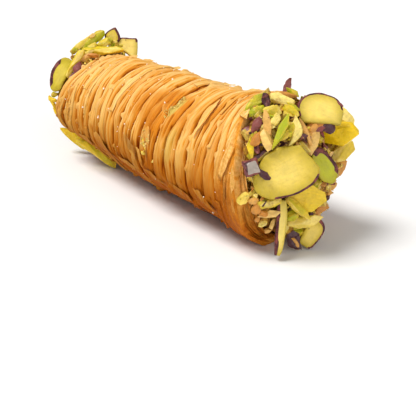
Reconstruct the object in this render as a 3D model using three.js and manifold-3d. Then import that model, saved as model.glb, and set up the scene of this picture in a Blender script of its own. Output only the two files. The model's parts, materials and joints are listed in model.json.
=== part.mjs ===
// Baklava roll lying on its side: a tube of pleated fillo pastry, filled from end to end with
// pistachio paste, with chopped nuts heaped on both ends and the largest nut slices as pieces
// of their own. Millimetres, +Z up. +X runs along the roll to its fuller end, called the front.
import * as THREE from "three";
import { mergeVertices } from "three/addons/utils/BufferGeometryUtils.js";
import Module from "manifold-3d";

const wasm = await Module();
wasm.setup();

// Driving dimensions
const rollLength = 80;
const rollRadius = 15.5; // to the pleats' crests
const boreRadius = 12.1;
const pressedDepth = 0.7; // how much the weight of the roll flattens its underside
const axisHeight = rollRadius - pressedDepth;
const frontEnd = rollLength / 2;
const backEnd = -rollLength / 2;
const sideDepth = 4; // of the dent along its lower side, at the back end
const sideReach = 4; // where that dent runs out
const gap = 0.35; // between pieces that touch

// Pleats: rings of pastry pushed together along the roll
const pleatPitch = 2.45;
const pleatDepth = 1.15;
const sidesRound = 20;

// Heaps of chopped nuts on the two ends
// "reach" is how far a heap stands out beyond the rim, and "rise" how far it stands above the
// pastry, most of all in the direction "heaped". Its collar of nuts, stuck to the outside of the
// rim, goes "back" along the roll, most of all in the direction "collar".
const frontHeap = { reach: 6.2, rise: 4.2, heaped: 74, back: 10, collar: 98 };
const backHeap = { reach: 3.4, rise: 2.6, heaped: 95, back: 6.5, collar: 105 };
const lumpHeight = 0.7;
const heapSides = 28;

const radians = THREE.MathUtils.degToRad;
const smooth = THREE.MathUtils.smoothstep;

// A fixed sequence of numbers from 0 to 1, the same on every run.
function seeded(seed) {
  let state = seed >>> 0;
  return () => {
    state = (Math.imul(state ^ (state >>> 15), 2246822519) + 3266489917) >>> 0;
    return ((state ^ (state >>> 13)) >>> 0) / 4294967296;
  };
}

// 1 in the direction "towards", in degrees, falling to 0 at a quarter turn from it.
function facing(angle, towards, sharpness = 1.5) {
  return Math.max(0, Math.cos(angle - radians(towards))) ** sharpness;
}

// A closed mesh from rings of equal length. The first and last ring are joined into a torus,
// or, with caps, each is closed by a fan to its own middle.
function skin(rings, capped) {
  const sides = rings[0].length;
  const points = rings.flat();
  const faces = [];
  const joins = capped ? rings.length - 1 : rings.length;
  for (let i = 0; i < joins; i++)
    for (let j = 0; j < sides; j++) {
      const next = (i + 1) % rings.length;
      const a = i * sides + j;
      const b = i * sides + ((j + 1) % sides);
      const c = next * sides + ((j + 1) % sides);
      const d = next * sides + j;
      faces.push(a, b, c, a, c, d);
    }
  if (capped)
    for (const [ring, last] of [[rings[0], false], [rings.at(-1), true]]) {
      const middle = ring.reduce((sum, p) => sum.add(p), new THREE.Vector3()).divideScalar(sides);
      const first = last ? (rings.length - 1) * sides : 0;
      points.push(middle);
      for (let j = 0; j < sides; j++) {
        const [a, b] = [first + j, first + ((j + 1) % sides)];
        faces.push(points.length - 1, ...(last ? [a, b] : [b, a]));
      }
    }
  return new THREE.BufferGeometry().setFromPoints(points).setIndex(faces);
}

function solidOf(geometry) {
  const plain = new THREE.BufferGeometry().setAttribute("position", geometry.getAttribute("position").clone());
  plain.setIndex(geometry.index);
  const merged = mergeVertices(plain, 1e-4);
  const solid = new wasm.Manifold(
    new wasm.Mesh({
      numProp: 3,
      vertProperties: merged.getAttribute("position").array,
      triVerts: new Uint32Array(merged.index.array),
    }),
  );
  if (solid.volume() < 0) throw new Error("faces point inwards");
  return solid;
}

function geometryOf(solid) {
  const mesh = solid.getMesh();
  const positions = new Float32Array(mesh.numVert * 3);
  for (let i = 0; i < mesh.numVert; i++)
    positions.set(mesh.vertProperties.subarray(i * mesh.numProp, i * mesh.numProp + 3), i * 3);
  return new THREE.BufferGeometry()
    .setAttribute("position", new THREE.BufferAttribute(positions, 3))
    .setIndex(new THREE.BufferAttribute(mesh.triVerts, 1));
}

// What is left of a solid is its largest body: a cut can leave crumbs, which are dropped.
function largestBody(solid) {
  return solid.decompose().sort((a, b) => b.volume() - a.volume())[0];
}

// A point at an angle round the roll's axis: 0 is +Y, 90 is up. Nothing goes below the table.
function around(x, angle, radius) {
  return new THREE.Vector3(x, radius * Math.cos(angle), Math.max(0, axisHeight + radius * Math.sin(angle)));
}

function ringAngles(sides) {
  return Array.from({ length: sides }, (_, j) => (2 * Math.PI * j) / sides);
}

// Pastry

// How far the pastry stops short of the roll's end: the front rim has crumbled away at its top.
function rimSetback(angle, front) {
  const ragged = 0.35 * Math.sin(3 * angle + 1) + 0.25 * Math.sin(7 * angle);
  const broken = front ? 5 * facing(angle, 100, 2) : 1.6 * facing(angle, 110, 2);
  return broken + ragged + 0.6;
}

// How far the roll is pressed in on its lower side: most at the back end, where it leant on
// another roll.
function pressedSide(x, angle) {
  const share = THREE.MathUtils.clamp((sideReach - x) / (sideReach - backEnd), 0, 1);
  return sideDepth * share * facing(angle, 228, 5);
}

// Slow swells and dents of the whole roll, its sagging underside, and its mouth, which the filling
// pushes open.
function rollSwell(x, angle) {
  const dents = 0.22 * Math.sin(2 * angle + x * 0.09) + 0.18 * Math.sin(3 * angle - x * 0.13);
  const mouth = (0.5 + 2.4 * facing(angle, 85, 3)) * smooth(x, frontEnd - 22, frontEnd - 8);
  const taper = 0.8 * smooth(-x, -backEnd - 9, -backEnd);
  const sag = 0.5 * facing(angle, 270, 8);
  return dents + sag + mouth - taper;
}

// Pleat by pleat: where its valley lies, and the depth and height of its fold. The widths are
// uneven, and add up to the roll's length.
function pleats() {
  const random = seeded(11);
  const found = Array.from({ length: Math.round(rollLength / pleatPitch) }, () => ({
    width: 0.72 + 0.56 * random(),
    depth: pleatDepth * (0.65 + 0.55 * random()),
    crest: 0.7 * (random() - 0.6),
  }));
  const total = found.reduce((sum, { width }) => sum + width, 0);
  let x = backEnd;
  for (const pleat of found) {
    pleat.width *= rollLength / total;
    pleat.x = x;
    x += pleat.width;
  }
  return found;
}

// One ring of the pastry's outside at a distance along the roll, sunk below the swell of the crests.
// "wander" shifts it along the roll; the rims' own raggedness is let in over the last stretch.
function outerRing(x, sink, wander, extra) {
  const inside = smooth(x, backEnd, backEnd + 4) * smooth(-x, -frontEnd, 4 - frontEnd);
  const frontShare = smooth(x, frontEnd - 16, frontEnd);
  const backShare = smooth(-x, -backEnd - 12, -backEnd);
  return ringAngles(sidesRound).map((angle) => {
    const setback = rimSetback(angle, true) * frontShare - rimSetback(angle, false) * backShare;
    const radius = rollRadius + rollSwell(x, angle) - pressedSide(x, angle) - sink(angle) + extra;
    return around(x - setback + wander(angle) * inside, angle, radius);
  });
}

// Each pleat has a valley and two points of its rounded fold, which wander a little together.
function pleatedRings() {
  const rings = pleats().flatMap(({ x, width, depth, crest }, n) => {
    const sunk = (by) => (angle) => by * (0.85 + 0.15 * Math.sin(4 * angle + n));
    const wander = (angle) => 0.45 * Math.sin(2 * angle + n * 0.35) + 0.25 * Math.sin(3 * angle + n * 0.9);
    return [
      outerRing(x, sunk(depth), wander, 0),
      outerRing(x + 0.28 * width, sunk(0.1 - crest), wander, 0),
      outerRing(x + 0.74 * width, sunk(0.2 - crest), wander, 0),
    ];
  });
  const still = () => 0;
  return [...rings, outerRing(frontEnd, () => pleatDepth * 0.5, still, 0)];
}

// Rings just clear of every crest.
function clearRings() {
  const steps = 30;
  const still = () => 0;
  return Array.from({ length: steps + 1 }, (_, i) =>
    outerRing(backEnd + (rollLength * i) / steps, () => -0.2, still, gap),
  );
}

// A tube from its outer rings, back to front, and its bore. "extra" thickens its bore and its ends.
function tube(outer, extra) {
  const boreSteps = [frontEnd, sideReach, backEnd / 3, backEnd * 0.7, backEnd];
  const bore = boreSteps.map((x) =>
    ringAngles(sidesRound).map((angle) => {
      const setback = x === frontEnd ? rimSetback(angle, true) : x === backEnd ? -rimSetback(angle, false) : 0;
      return around(x - setback, angle, boreRadius - pressedSide(x, angle) - extra);
    }),
  );
  const stretch = (ring, by) => ring.forEach((p) => (p.x += by));
  [outer.at(-1), bore[0]].forEach((ring) => stretch(ring, extra));
  [outer[0], bore.at(-1)].forEach((ring) => stretch(ring, -extra));
  return solidOf(skin([...outer, ...bore], false));
}

// Filling and heaps

// Outline of an end's heap: a blunt dome beyond the rim, and a collar on the roll itself, where
// "beyond", the distance past the rim, is negative.
function heapRadius(beyond, angle, heap) {
  const mouth = boreRadius + 0.8;
  const top = rollRadius + heap.rise;
  const full = mouth + (top - mouth) * Math.min(1, 1.3 * facing(angle, heap.heaped));
  if (beyond >= 0) return full * Math.sqrt(1 - (beyond / heap.reach) ** 2.4);
  const inside = boreRadius - 2 * gap;
  const along = -beyond / (heap.back * facing(angle, heap.collar, 3) + 0.1);
  return along >= 1 ? inside : inside + (full - inside) * Math.sqrt(1 - along ** 4);
}

// Chopped nuts give the heap an uneven outline.
function lumps(x, angle) {
  const wave = Math.sin(1.9 * x + 4 * angle) * Math.cos(5 * angle - 1.1 * x) + 0.6 * Math.sin(9 * angle + 2.3 * x);
  return lumpHeight * wave;
}

// The filling and both heaps as one body. Below the axis the heaps stay clear of the table.
function fillingBody() {
  const shares = [0.985, 0.86, 0.6, 0.3, 0];
  const onRoll = [-2.5, -5, -7.5, -10.5];
  const floor = (angle) => (axisHeight - 0.5) / Math.max(0.1, -Math.sin(angle));
  const rings = (end, heap, sign) =>
    [...shares.map((share) => share * heap.reach), ...onRoll].map((beyond) =>
      ringAngles(heapSides).map((angle) => {
        const plain = heapRadius(beyond, angle, heap) - pressedSide(end, angle);
        const shown = beyond >= 0 || plain > boreRadius ? smooth(plain, 2, 9) : 0;
        const radius = Math.max(0.5, plain + shown * lumps(end + sign * beyond, angle));
        return around(end + sign * beyond, angle, Math.min(radius, floor(angle)));
      }),
    );
  return solidOf(skin([...rings(backEnd, backHeap, -1), ...rings(frontEnd, frontHeap, 1).reverse()], true));
}

// Nut slices

// A kernel's oval outline, cut off straight along each chord: { turn, at } keeps what lies within
// "at" of the middle, as a share of the half width, in the direction "turn".
function kernelOutline(length, width, blunt, chords) {
  const count = 12;
  let outline = ringAngles(count).map((angle) => {
    const [c, s] = [Math.cos(angle), Math.sin(angle)];
    return new THREE.Vector2(
      0.5 * length * Math.sign(c) * Math.abs(c) ** blunt,
      0.5 * width * Math.sign(s) * Math.abs(s) ** blunt * (1 + 0.16 * c),
    );
  });
  for (const { turn, at } of chords) {
    const normal = new THREE.Vector2(Math.cos(radians(turn)), Math.sin(radians(turn)));
    const limit = (at * Math.hypot(normal.x * length, normal.y * width)) / 2;
    outline = outline.flatMap((p, i) => {
      const q = outline[(i + 1) % outline.length];
      const [dp, dq] = [p.dot(normal) - limit, q.dot(normal) - limit];
      const kept = dp <= 0 ? [p] : [];
      return dp * dq < 0 ? [...kept, p.clone().lerp(q, dp / (dp - dq))] : kept;
    });
  }
  return outline;
}

// Every slice: its size, its place (x past the middle of the roll, y across, z above the table), the
// way its flat face looks (turn from +X, lift from level) and its spin in that face. Degrees.
const slices = {
  front_half_large: {
    size: [14.8, 11, 3], blunt: 0.85, chords: [{ turn: 12, at: 0.86 }, { turn: 125, at: 0.88 }],
    at: [45.6, -6.7, 20.6], look: [-38, 22], spin: 28,
  },
  front_half_top: {
    size: [10.4, 8.4, 2.6], blunt: 0.9, chords: [{ turn: -75, at: 0.62 }],
    at: [41.7, 5.9, 30.6], look: [-32, 34], spin: -20,
  },
  front_wedge: {
    size: [9.6, 5.4, 3.8], blunt: 1, chords: [{ turn: 40, at: 0.62 }],
    at: [44.1, 10.4, 24.5], look: [-62, 18], spin: 4,
  },
  front_half_green: {
    size: [8.2, 5, 2.4], blunt: 1, chords: [],
    at: [46, 4.8, 18.9], look: [-28, 20], spin: -64,
  },
  front_slice_low: {
    size: [8.8, 5.4, 2.2], blunt: 0.8, chords: [{ turn: 20, at: 0.78 }],
    at: [45.6, -0.6, 12.8], look: [-32, 14], spin: -14,
  },
  front_sliver_long: {
    size: [13, 2.8, 2.3], blunt: 0.7, chords: [{ turn: 0, at: 0.92 }],
    at: [45.3, -7.4, 7.6], look: [-44, 8], spin: 87,
  },
  front_sliver_upper: {
    size: [5.8, 2.1, 1.7], blunt: 1, chords: [],
    at: [46.9, -3.6, 11.1], look: [-38, 14], spin: -42,
  },
  front_sliver_lower: {
    size: [7, 2.2, 1.7], blunt: 1, chords: [],
    at: [46.7, -1.6, 7.9], look: [-38, 12], spin: 14,
  },
  front_slice_foot: {
    size: [7.6, 5.8, 1.9], blunt: 0.9, chords: [{ turn: 100, at: 0.7 }, { turn: 180, at: 0.8 }],
    at: [45.7, 2.3, 3.8], look: [-34, 6], spin: 58,
  },
  front_chunk_pale: {
    size: [6, 4.8, 3], blunt: 1, chords: [{ turn: -60, at: 0.7 }],
    at: [41.6, 15, 26.4], look: [-20, 30], spin: -50,
  },
  front_chunk_side: {
    size: [6.2, 4.8, 2.8], blunt: 0.8, chords: [{ turn: 20, at: 0.7 }],
    at: [42.6, 13.4, 19.6], look: [-26, 4], spin: 50,
  },
  front_blade: {
    size: [7.4, 2, 1.5], blunt: 1.1, chords: [],
    at: [43.5, -7, 29.2], look: [-40, 30], spin: 66,
  },
  back_slice_side: {
    size: [9.6, 6.6, 1.9], blunt: 0.9, chords: [{ turn: -90, at: 0.6 }],
    at: [-40.4, -11.3, 23.6], look: [-44, 22], spin: 66,
  },
  back_sliver_rise: {
    size: [8.8, 2.8, 2.2], blunt: 0.8, chords: [],
    at: [-39.6, -7.4, 26.6], look: [-42, 30], spin: 62,
  },
  back_sliver_high: {
    size: [8, 2, 1.8], blunt: 0.8, chords: [],
    at: [-42.8, -1.6, 31.2], look: [-40, 26], spin: 36,
  },
  back_chunk_green: {
    size: [7.4, 3.1, 2.8], blunt: 0.7, chords: [],
    at: [-41, 1.4, 32], look: [-40, 26], spin: 48,
  },
  back_stick: {
    size: [11.8, 2.8, 2.4], blunt: 0.7, chords: [{ turn: 0, at: 0.94 }],
    at: [-36.8, 0.3, 30.4], look: [-50, 34], spin: 4,
  },
  back_tip: {
    size: [6, 4.6, 1.8], blunt: 1.2, chords: [{ turn: 180, at: 0.6 }],
    at: [-39, 6.5, 33], look: [-42, 20], spin: 76,
  },
  back_slice_top: {
    size: [7.4, 6, 2], blunt: 0.8, chords: [{ turn: -60, at: 0.7 }, { turn: 170, at: 0.8 }],
    at: [-35.9, 9, 29.6], look: [-40, 30], spin: -10,
  },
  back_sliver_floor_short: {
    size: [9.6, 3.2, 2.2], blunt: 0.8, chords: [],
    at: [-41.4, -8, 5], look: [-42, 22], spin: -41,
  },
  back_sliver_floor_long: {
    size: [11.6, 3.2, 2.4], blunt: 0.8, chords: [],
    at: [-27.4, -8.6, 4.3], look: [-42, 20], spin: -37,
  },
};

// One slice, "extra" larger on every side, set in its place.
function nutSlice({ size: [length, width, thick], blunt, chords, at, look: [turn, lift], spin }, extra = 0) {
  const bevel = 0.28 * thick;
  const outline = kernelOutline(length - 2 * bevel, width - 2 * bevel, blunt, chords);
  const body = new THREE.ExtrudeGeometry(new THREE.Shape(outline), {
    depth: thick - 2 * bevel,
    bevelThickness: bevel + extra,
    bevelSize: bevel + extra,
    bevelSegments: 1,
    curveSegments: 1,
  });
  const out = new THREE.Vector3(Math.cos(radians(turn)), Math.sin(radians(turn)), Math.tan(radians(lift))).normalize();
  const level = new THREE.Vector3(-Math.sin(radians(turn)), Math.cos(radians(turn)), 0);
  const upward = new THREE.Vector3().crossVectors(out, level);
  body.translate(0, 0, bevel - thick / 2);
  body.rotateZ(radians(spin));
  body.applyMatrix4(new THREE.Matrix4().makeBasis(level, upward, out).setPosition(...at));
  return solidOf(body);
}

const group = new THREE.Group();

function add(name, solid, colour, roughness) {
  const mesh = new THREE.Mesh(
    geometryOf(solid),
    new THREE.MeshStandardMaterial({ color: colour, roughness, metalness: 0 }),
  );
  mesh.name = name;
  group.add(mesh);
}

// The pastry is whole. Each slice gives way to the pastry and to the slices before it, and the
// filling gives way to them all.
const pastry = tube(pleatedRings(), 0);
const clearance = tube(clearRings(), gap);
add("pastry_roll", pastry, 0xdb9c4c, 0.55);
let filling = fillingBody().subtract(clearance);
const placed = [];
for (const [name, slice] of Object.entries(slices)) {
  let body = nutSlice(slice).subtract(clearance);
  for (const other of placed) body = body.subtract(other);
  placed.push(nutSlice(slice, gap));
  filling = filling.subtract(placed.at(-1));
  add(name, largestBody(body), 0xd3c45a, 0.45);
}
add("pistachio_filling", largestBody(filling), 0xa79a4a, 0.6);

// The origin is the middle of the footprint, on the table.
const box = new THREE.Box3().setFromObject(group);
const centre = box.getCenter(new THREE.Vector3());
group.position.set(-centre.x, -centre.y, -box.min.z);

export default group;
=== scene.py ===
import json
import math
import random

import bmesh
import bpy
import mathutils
from mathutils import Matrix, Vector

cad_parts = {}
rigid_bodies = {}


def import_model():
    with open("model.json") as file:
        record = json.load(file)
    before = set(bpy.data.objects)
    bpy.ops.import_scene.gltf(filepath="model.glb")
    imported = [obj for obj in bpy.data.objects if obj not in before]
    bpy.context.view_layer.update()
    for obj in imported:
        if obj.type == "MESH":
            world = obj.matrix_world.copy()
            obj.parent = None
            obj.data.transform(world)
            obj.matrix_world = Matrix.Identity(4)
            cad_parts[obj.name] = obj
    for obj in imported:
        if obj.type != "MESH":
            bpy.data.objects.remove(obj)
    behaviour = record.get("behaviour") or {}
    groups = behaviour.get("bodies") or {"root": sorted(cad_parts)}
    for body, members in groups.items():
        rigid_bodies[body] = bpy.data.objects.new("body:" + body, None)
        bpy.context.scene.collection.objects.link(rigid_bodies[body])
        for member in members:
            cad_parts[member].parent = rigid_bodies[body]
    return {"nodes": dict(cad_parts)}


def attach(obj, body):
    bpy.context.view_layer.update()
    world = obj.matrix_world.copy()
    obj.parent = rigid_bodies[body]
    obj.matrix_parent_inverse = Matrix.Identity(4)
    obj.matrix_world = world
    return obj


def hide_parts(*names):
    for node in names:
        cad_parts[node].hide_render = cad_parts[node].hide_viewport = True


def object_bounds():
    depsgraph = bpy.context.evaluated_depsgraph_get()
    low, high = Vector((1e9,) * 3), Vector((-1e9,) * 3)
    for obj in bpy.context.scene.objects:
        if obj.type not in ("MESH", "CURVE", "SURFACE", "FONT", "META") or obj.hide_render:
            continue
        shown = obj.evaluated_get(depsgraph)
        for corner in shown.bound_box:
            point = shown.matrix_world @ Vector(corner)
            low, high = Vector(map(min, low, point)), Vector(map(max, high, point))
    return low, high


bl_info = {
    "name": "Baklava roll",
    "version": (1, 0, 0),
    "blender": (4, 5, 0),
    "location": "3D View > Sidebar > Baklava",
    "description": "Pleated fillo pastry, chopped pistachios and the table they are shown on",
    "category": "Add Mesh",
}

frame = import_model()
CAD_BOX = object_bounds()
MM = 0.001
TAU = 2 * math.pi
ROLL_MIDDLE = Vector((-2.74, -0.89, 0))  # of the pastry's length, on the table, in millimetres
AXIS_HEIGHT = 14.8  # of the roll's axis, in millimetres
GRAIN_RADIUS = 15.0 * MM  # at which the way round the roll is measured for the pastry's grain
CAMERA_AT = (152.96, -118.22, 81.78)  # in millimetres
CAMERA_TURN, CAMERA_RISE = 50.9, 24.2  # from -Y and from level, in degrees
CAMERA_LENS = 69.23
SHOWN_WAY = (-39, 24)  # turn from +X and lift from level of what faces the near front corner
# A fold's place along the roll is partly in even steps and partly in steps that grow to the front.
EVEN_PART, GROWING_PART = 0.82, 0.18


# Node trees

def operation(kind):
    """A method of Value that does one kind of arithmetic."""
    def method(self, *others):
        return self.math(kind, *others)
    return method


class Value:
    """A socket of a node tree that takes part in ordinary arithmetic."""

    def __init__(self, tree, socket):
        self.tree = tree
        self.socket = socket

    def math(self, kind, *others, clamp=False):
        feeds = dict(enumerate((self, *others)))
        return made(self.tree, "ShaderNodeMath", feeds, operation=kind, use_clamp=clamp)

    __add__ = __radd__ = operation("ADD")
    __sub__ = operation("SUBTRACT")
    __mul__ = __rmul__ = operation("MULTIPLY")
    __truediv__ = operation("DIVIDE")
    __pow__ = operation("POWER")
    sin = operation("SINE")
    cos = operation("COSINE")
    abs = operation("ABSOLUTE")
    floor = operation("FLOOR")
    fract = operation("FRACT")
    at_least = operation("MAXIMUM")
    at_most = operation("MINIMUM")

    def __neg__(self):
        return self * -1.0

    def __rsub__(self, other):
        return self.math("MULTIPLY_ADD", -1.0, other)

    def clamped(self):
        return self.math("ADD", 0.0, clamp=True)

    def ramp(self, low, high, to_low=0.0, to_high=1.0, smooth=True):
        """Goes from to_low to to_high as the value goes from low to high, and stays there."""
        feeds = dict(enumerate((self, low, high, to_low, to_high)))
        course = "SMOOTHSTEP" if smooth else "LINEAR"
        return made(self.tree, "ShaderNodeMapRange", feeds, interpolation_type=course)


def feed(tree, slot, item):
    if isinstance(item, Value):
        tree.links.new(item.socket, slot)
    else:
        slot.default_value = item


def place(tree, kind, feeds=None, **settings):
    """A new node with its settings and what goes into its inputs, by name or number."""
    node = tree.nodes.new(kind)
    for name, value in settings.items():
        setattr(node, name, value)
    for slot, item in (feeds or {}).items():
        feed(tree, node.inputs[slot], item)
    return node


def out(tree, node, slot=0):
    return Value(tree, node.outputs[slot])


def made(tree, kind, feeds=None, slot=0, **settings):
    """What comes out of a new node, by its first output if no other is named."""
    return out(tree, place(tree, kind, feeds, **settings), slot)


def vector(tree, x=0.0, y=0.0, z=0.0):
    return made(tree, "ShaderNodeCombineXYZ", {0: x, 1: y, 2: z})


def round_roll(tree, first, angle, reach):
    """A place to read noise at, which comes back to itself once round the roll."""
    return vector(tree, first, angle.cos() * reach, angle.sin() * reach)


def constant(tree, number):
    node = place(tree, "ShaderNodeValue")
    node.outputs[0].default_value = number
    return out(tree, node)


def scaled(tree, item, scale):
    return made(tree, "ShaderNodeVectorMath", {0: item, "Scale": scale}, operation="SCALE")


def added(tree, first, second):
    return made(tree, "ShaderNodeVectorMath", {0: first, 1: second}, operation="ADD")


def parts(tree, item):
    node = place(tree, "ShaderNodeSeparateXYZ", {0: item})
    return [Value(tree, socket) for socket in node.outputs]


def noise(tree, where, scale=1.0, detail=0.0, rough=0.5):
    """Smooth noise from 0 to 1, mostly 0.3 to 0.7."""
    return made(tree, "ShaderNodeTexNoise", {
        "Vector": where, "Scale": scale, "Detail": detail, "Roughness": rough})


def chance(tree, number, draw):
    """An even random number from 0 to 1 for each whole number, another for each draw."""
    return made(tree, "ShaderNodeTexWhiteNoise", {"W": number + draw * 17.31}, noise_dimensions="1D")


def position(tree):
    return made(tree, "GeometryNodeInputPosition")


def kept(tree, name, kind="FLOAT"):
    return made(tree, "GeometryNodeInputNamedAttribute", {"Name": name}, data_type=kind)


def keep(tree, geometry, name, item, kind="FLOAT", domain="POINT"):
    return made(tree, "GeometryNodeStoreNamedAttribute", {"Geometry": geometry, "Name": name, "Value": item},
                data_type=kind, domain=domain)


def geometry_tree(name, **sizes):
    """A geometry tree with a number input for each named size. Returns the tree and its inputs."""
    tree = bpy.data.node_groups.new(name, "GeometryNodeTree")
    for label, default in sizes.items():
        kind = "NodeSocketInt" if isinstance(default, int) else "NodeSocketFloat"
        shown = label.replace("_", " ").capitalize()
        socket = tree.interface.new_socket(name=shown, in_out="INPUT", socket_type=kind)
        socket.default_value = default
    tree.interface.new_socket(name="Geometry", in_out="OUTPUT", socket_type="NodeSocketGeometry")
    entry = tree.nodes.new("NodeGroupInput")
    inputs = {label: Value(tree, entry.outputs[i]) for i, label in enumerate(sizes)}
    return tree, inputs


def close_tree(tree, geometry, material, smooth=True):
    """Ends a tree in Realize Instances, smooth or flat shading and Set Material, and returns it."""
    real = made(tree, "GeometryNodeRealizeInstances", {0: geometry})
    shaded = made(tree, "GeometryNodeSetShadeSmooth", {0: real, "Shade Smooth": smooth})
    painted = made(tree, "GeometryNodeSetMaterial", {"Geometry": shaded, "Material": material})
    place(tree, "NodeGroupOutput", {0: painted})
    return tree


def linked(thing):
    """An object, put in the scene."""
    bpy.context.scene.collection.objects.link(thing)
    return thing


def grow(name, tree, **sizes):
    """The tree's result as a plain mesh object."""
    seed = linked(bpy.data.objects.new(name + "_seed", bpy.data.meshes.new(name + "_seed")))
    modifier = seed.modifiers.new("Make", "NODES")
    modifier.node_group = tree
    for item in tree.interface.items_tree:
        label = item.name.lower().replace(" ", "_")
        if item.in_out == "INPUT" and label in sizes:
            modifier[item.identifier] = sizes[label]
    graph = bpy.context.evaluated_depsgraph_get()
    mesh = bpy.data.meshes.new_from_object(seed.evaluated_get(graph), depsgraph=graph)
    mesh.name = name
    painted = mesh.materials[-1]
    mesh.materials.clear()
    mesh.materials.append(painted)
    mesh.polygons.foreach_set("material_index", [0] * len(mesh.polygons))
    bpy.data.objects.remove(seed)
    if not mesh.polygons:
        raise RuntimeError(f"{name} came out empty")
    return linked(bpy.data.objects.new(name, mesh))


def joined(name, pieces):
    """Several objects as one."""
    first = pieces[0]
    with bpy.context.temp_override(active_object=first, object=first, selected_objects=pieces,
                                   selected_editable_objects=pieces):
        bpy.ops.object.join()
    first.name = first.data.name = name
    return first


def finish_piece(piece, slot, *nodes):
    """Puts a piece on the root body and hides the solids that it stands for. The slot, what it is made of, is
    not used.
    """
    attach(piece, "root")
    if nodes:
        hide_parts(*nodes)


# Sizes and colours that a user would change

def a_length(name, description, size):
    """A property for a length, whose default is given in millimetres."""
    return bpy.props.FloatProperty(name=name, description=description, default=size * MM, subtype="DISTANCE")


def a_colour(name, description, *default):
    return bpy.props.FloatVectorProperty(name=name, description=description, default=(*default, 1), size=4,
                                         min=0, max=1, subtype="COLOR")


class RollSizes(bpy.types.PropertyGroup):
    radius: a_length("Radius", "From the roll's axis to the pleats' crests", 15.5)
    bore: a_length("Bore", "Radius of the hollow that holds the filling", 12.1)
    front: a_length("Front end", "Where the pastry ends at its fuller end", 37.26)
    back: a_length("Back end", "Where the pastry ends at its other end", -42.74)
    across: a_length("Axis across", "The axis's place across the table", -0.89)
    height: a_length("Axis height", "The axis's height above the table", AXIS_HEIGHT)
    folds: bpy.props.IntProperty(name="Folds", description="Pleats along the roll", default=25, min=2)
    depth: a_length("Fold depth", "From crest to crevice", 1.8)


class PastryColours(bpy.types.PropertyGroup):
    # The pale colour is partly dry flaky pastry, partly a painted highlight along the crests.
    pale: a_colour("Pale", "Dry flaky edges", 0.96, 0.63, 0.25)
    golden: a_colour("Golden", "Lightly baked pastry", 0.86, 0.42, 0.06)
    toasted: a_colour("Toasted", "Pastry where it browned", 0.62, 0.20, 0.018)
    # The buttery and crevice colours are partly butter-soaked pastry, partly painted shade in the crevices
    # and on the far side of each crest.
    buttery_and_shaded: a_colour("Buttery", "Pastry soaked with butter, by the crevices", 0.78, 0.27, 0.012)
    smear: a_colour("Smear", "Nut paste smeared on a fold", 0.62, 0.50, 0.12)
    crevice: a_colour("Crevice", "Buttery pastry between the folds", 0.29, 0.052, 0.001)


class NutColours(bpy.types.PropertyGroup):
    cream: a_colour("Cream", "The palest flesh", 0.92, 0.72, 0.20)
    yellow: a_colour("Yellow", "Most flesh", 0.72, 0.51, 0.032)
    green: a_colour("Green", "The greenest flesh", 0.43, 0.46, 0.012)
    ripe: a_colour("Ripe", "Deep yellow flesh", 0.95, 0.63, 0.005)
    rim: a_colour("Rim", "Flesh just under the skin", 0.40, 0.30, 0.012)
    stain: a_colour("Stain", "Flesh where it bruised", 0.34, 0.13, 0.02)
    speck: a_colour("Speck", "Specks on the flesh", 0.16, 0.08, 0.02)
    skin: a_colour("Skin", "Purple skin", 0.06, 0.010, 0.015)
    worn_skin: a_colour("Worn skin", "Skin where it is rubbed", 0.23, 0.055, 0.045)
    # The waxy skin's pale grey is partly a painted sheen of glossy skin.
    waxy_skin: a_colour("Waxy skin", "The inside of a loose skin", 0.36, 0.30, 0.25)
    paste: a_colour("Paste", "Nut paste under the chopped nuts", 0.48, 0.25, 0.022)
    # The deep paste colour is partly painted shade: it fills the paste's dips between its lumps.
    dark_paste_and_hollow_shade: a_colour("Deep paste", "Nut paste in its hollows", 0.12, 0.03, 0.001)
    toasted: a_colour("Toasted", "Toasted bits", 0.58, 0.22, 0.02)
    biscuit: a_colour("Biscuit", "Pale bits", 0.88, 0.56, 0.15)
    crumb: a_colour("Crumb", "Palest crumbs among the chopped nuts", 0.72, 0.44, 0.11)
    # The dark crumb colour is partly painted shade, for the crumbs that fill the hollows among the chopped
    # nuts.
    dark_crumb_and_shade: a_colour("Dark crumb", "Darkest crumbs among the chopped nuts", 0.30, 0.12, 0.008)
    pale_crumb: a_colour("Pale crumb", "Palest crumbs that cling to the nuts", 0.80, 0.58, 0.13)
    brown_crumb: a_colour("Brown crumb", "Darkest crumbs that cling to the nuts", 0.42, 0.17, 0.025)
    dust: a_colour("Dust", "Palest ground nut", 0.80, 0.58, 0.15)
    green_dust: a_colour("Green dust", "Greenest ground nut", 0.60, 0.47, 0.07)
    # The syrup colour is pale for beads that stand for glints: a painted glint, besides their real gloss.
    syrup: a_colour("Syrup", "Drops of syrup", 1.0, 0.9, 0.72)


# Shape of the roll

def between(size, low, high, share):
    return size[low] + (size[high] - size[low]) * share


def from_middle(along):
    """A place along the roll in millimetres from its middle."""
    return along / MM - ROLL_MIDDLE.x


def facing(angle, towards, sharpness=1.5):
    """1 at an angle, in degrees, falling to 0 a quarter turn away."""
    return (angle - math.radians(towards)).cos().at_least(0.0) ** sharpness


def torn_front(angle):
    """How far the sheet is torn back at the front, low on its near side, in millimetres."""
    return 0.4 * facing(angle, 225, 3)


def torn_back(angle):
    """How far it is torn back at the back, high on its near side."""
    return 4.6 * facing(angle, 126, 3)


def pressed_side(along, angle):
    """How far the roll is pressed in on its lower side, most of all at the back."""
    x = from_middle(along)
    return 2.4 * MM * (-x).ramp(0.0, 40.0, smooth=False) * facing(angle, 228, 5)


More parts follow.
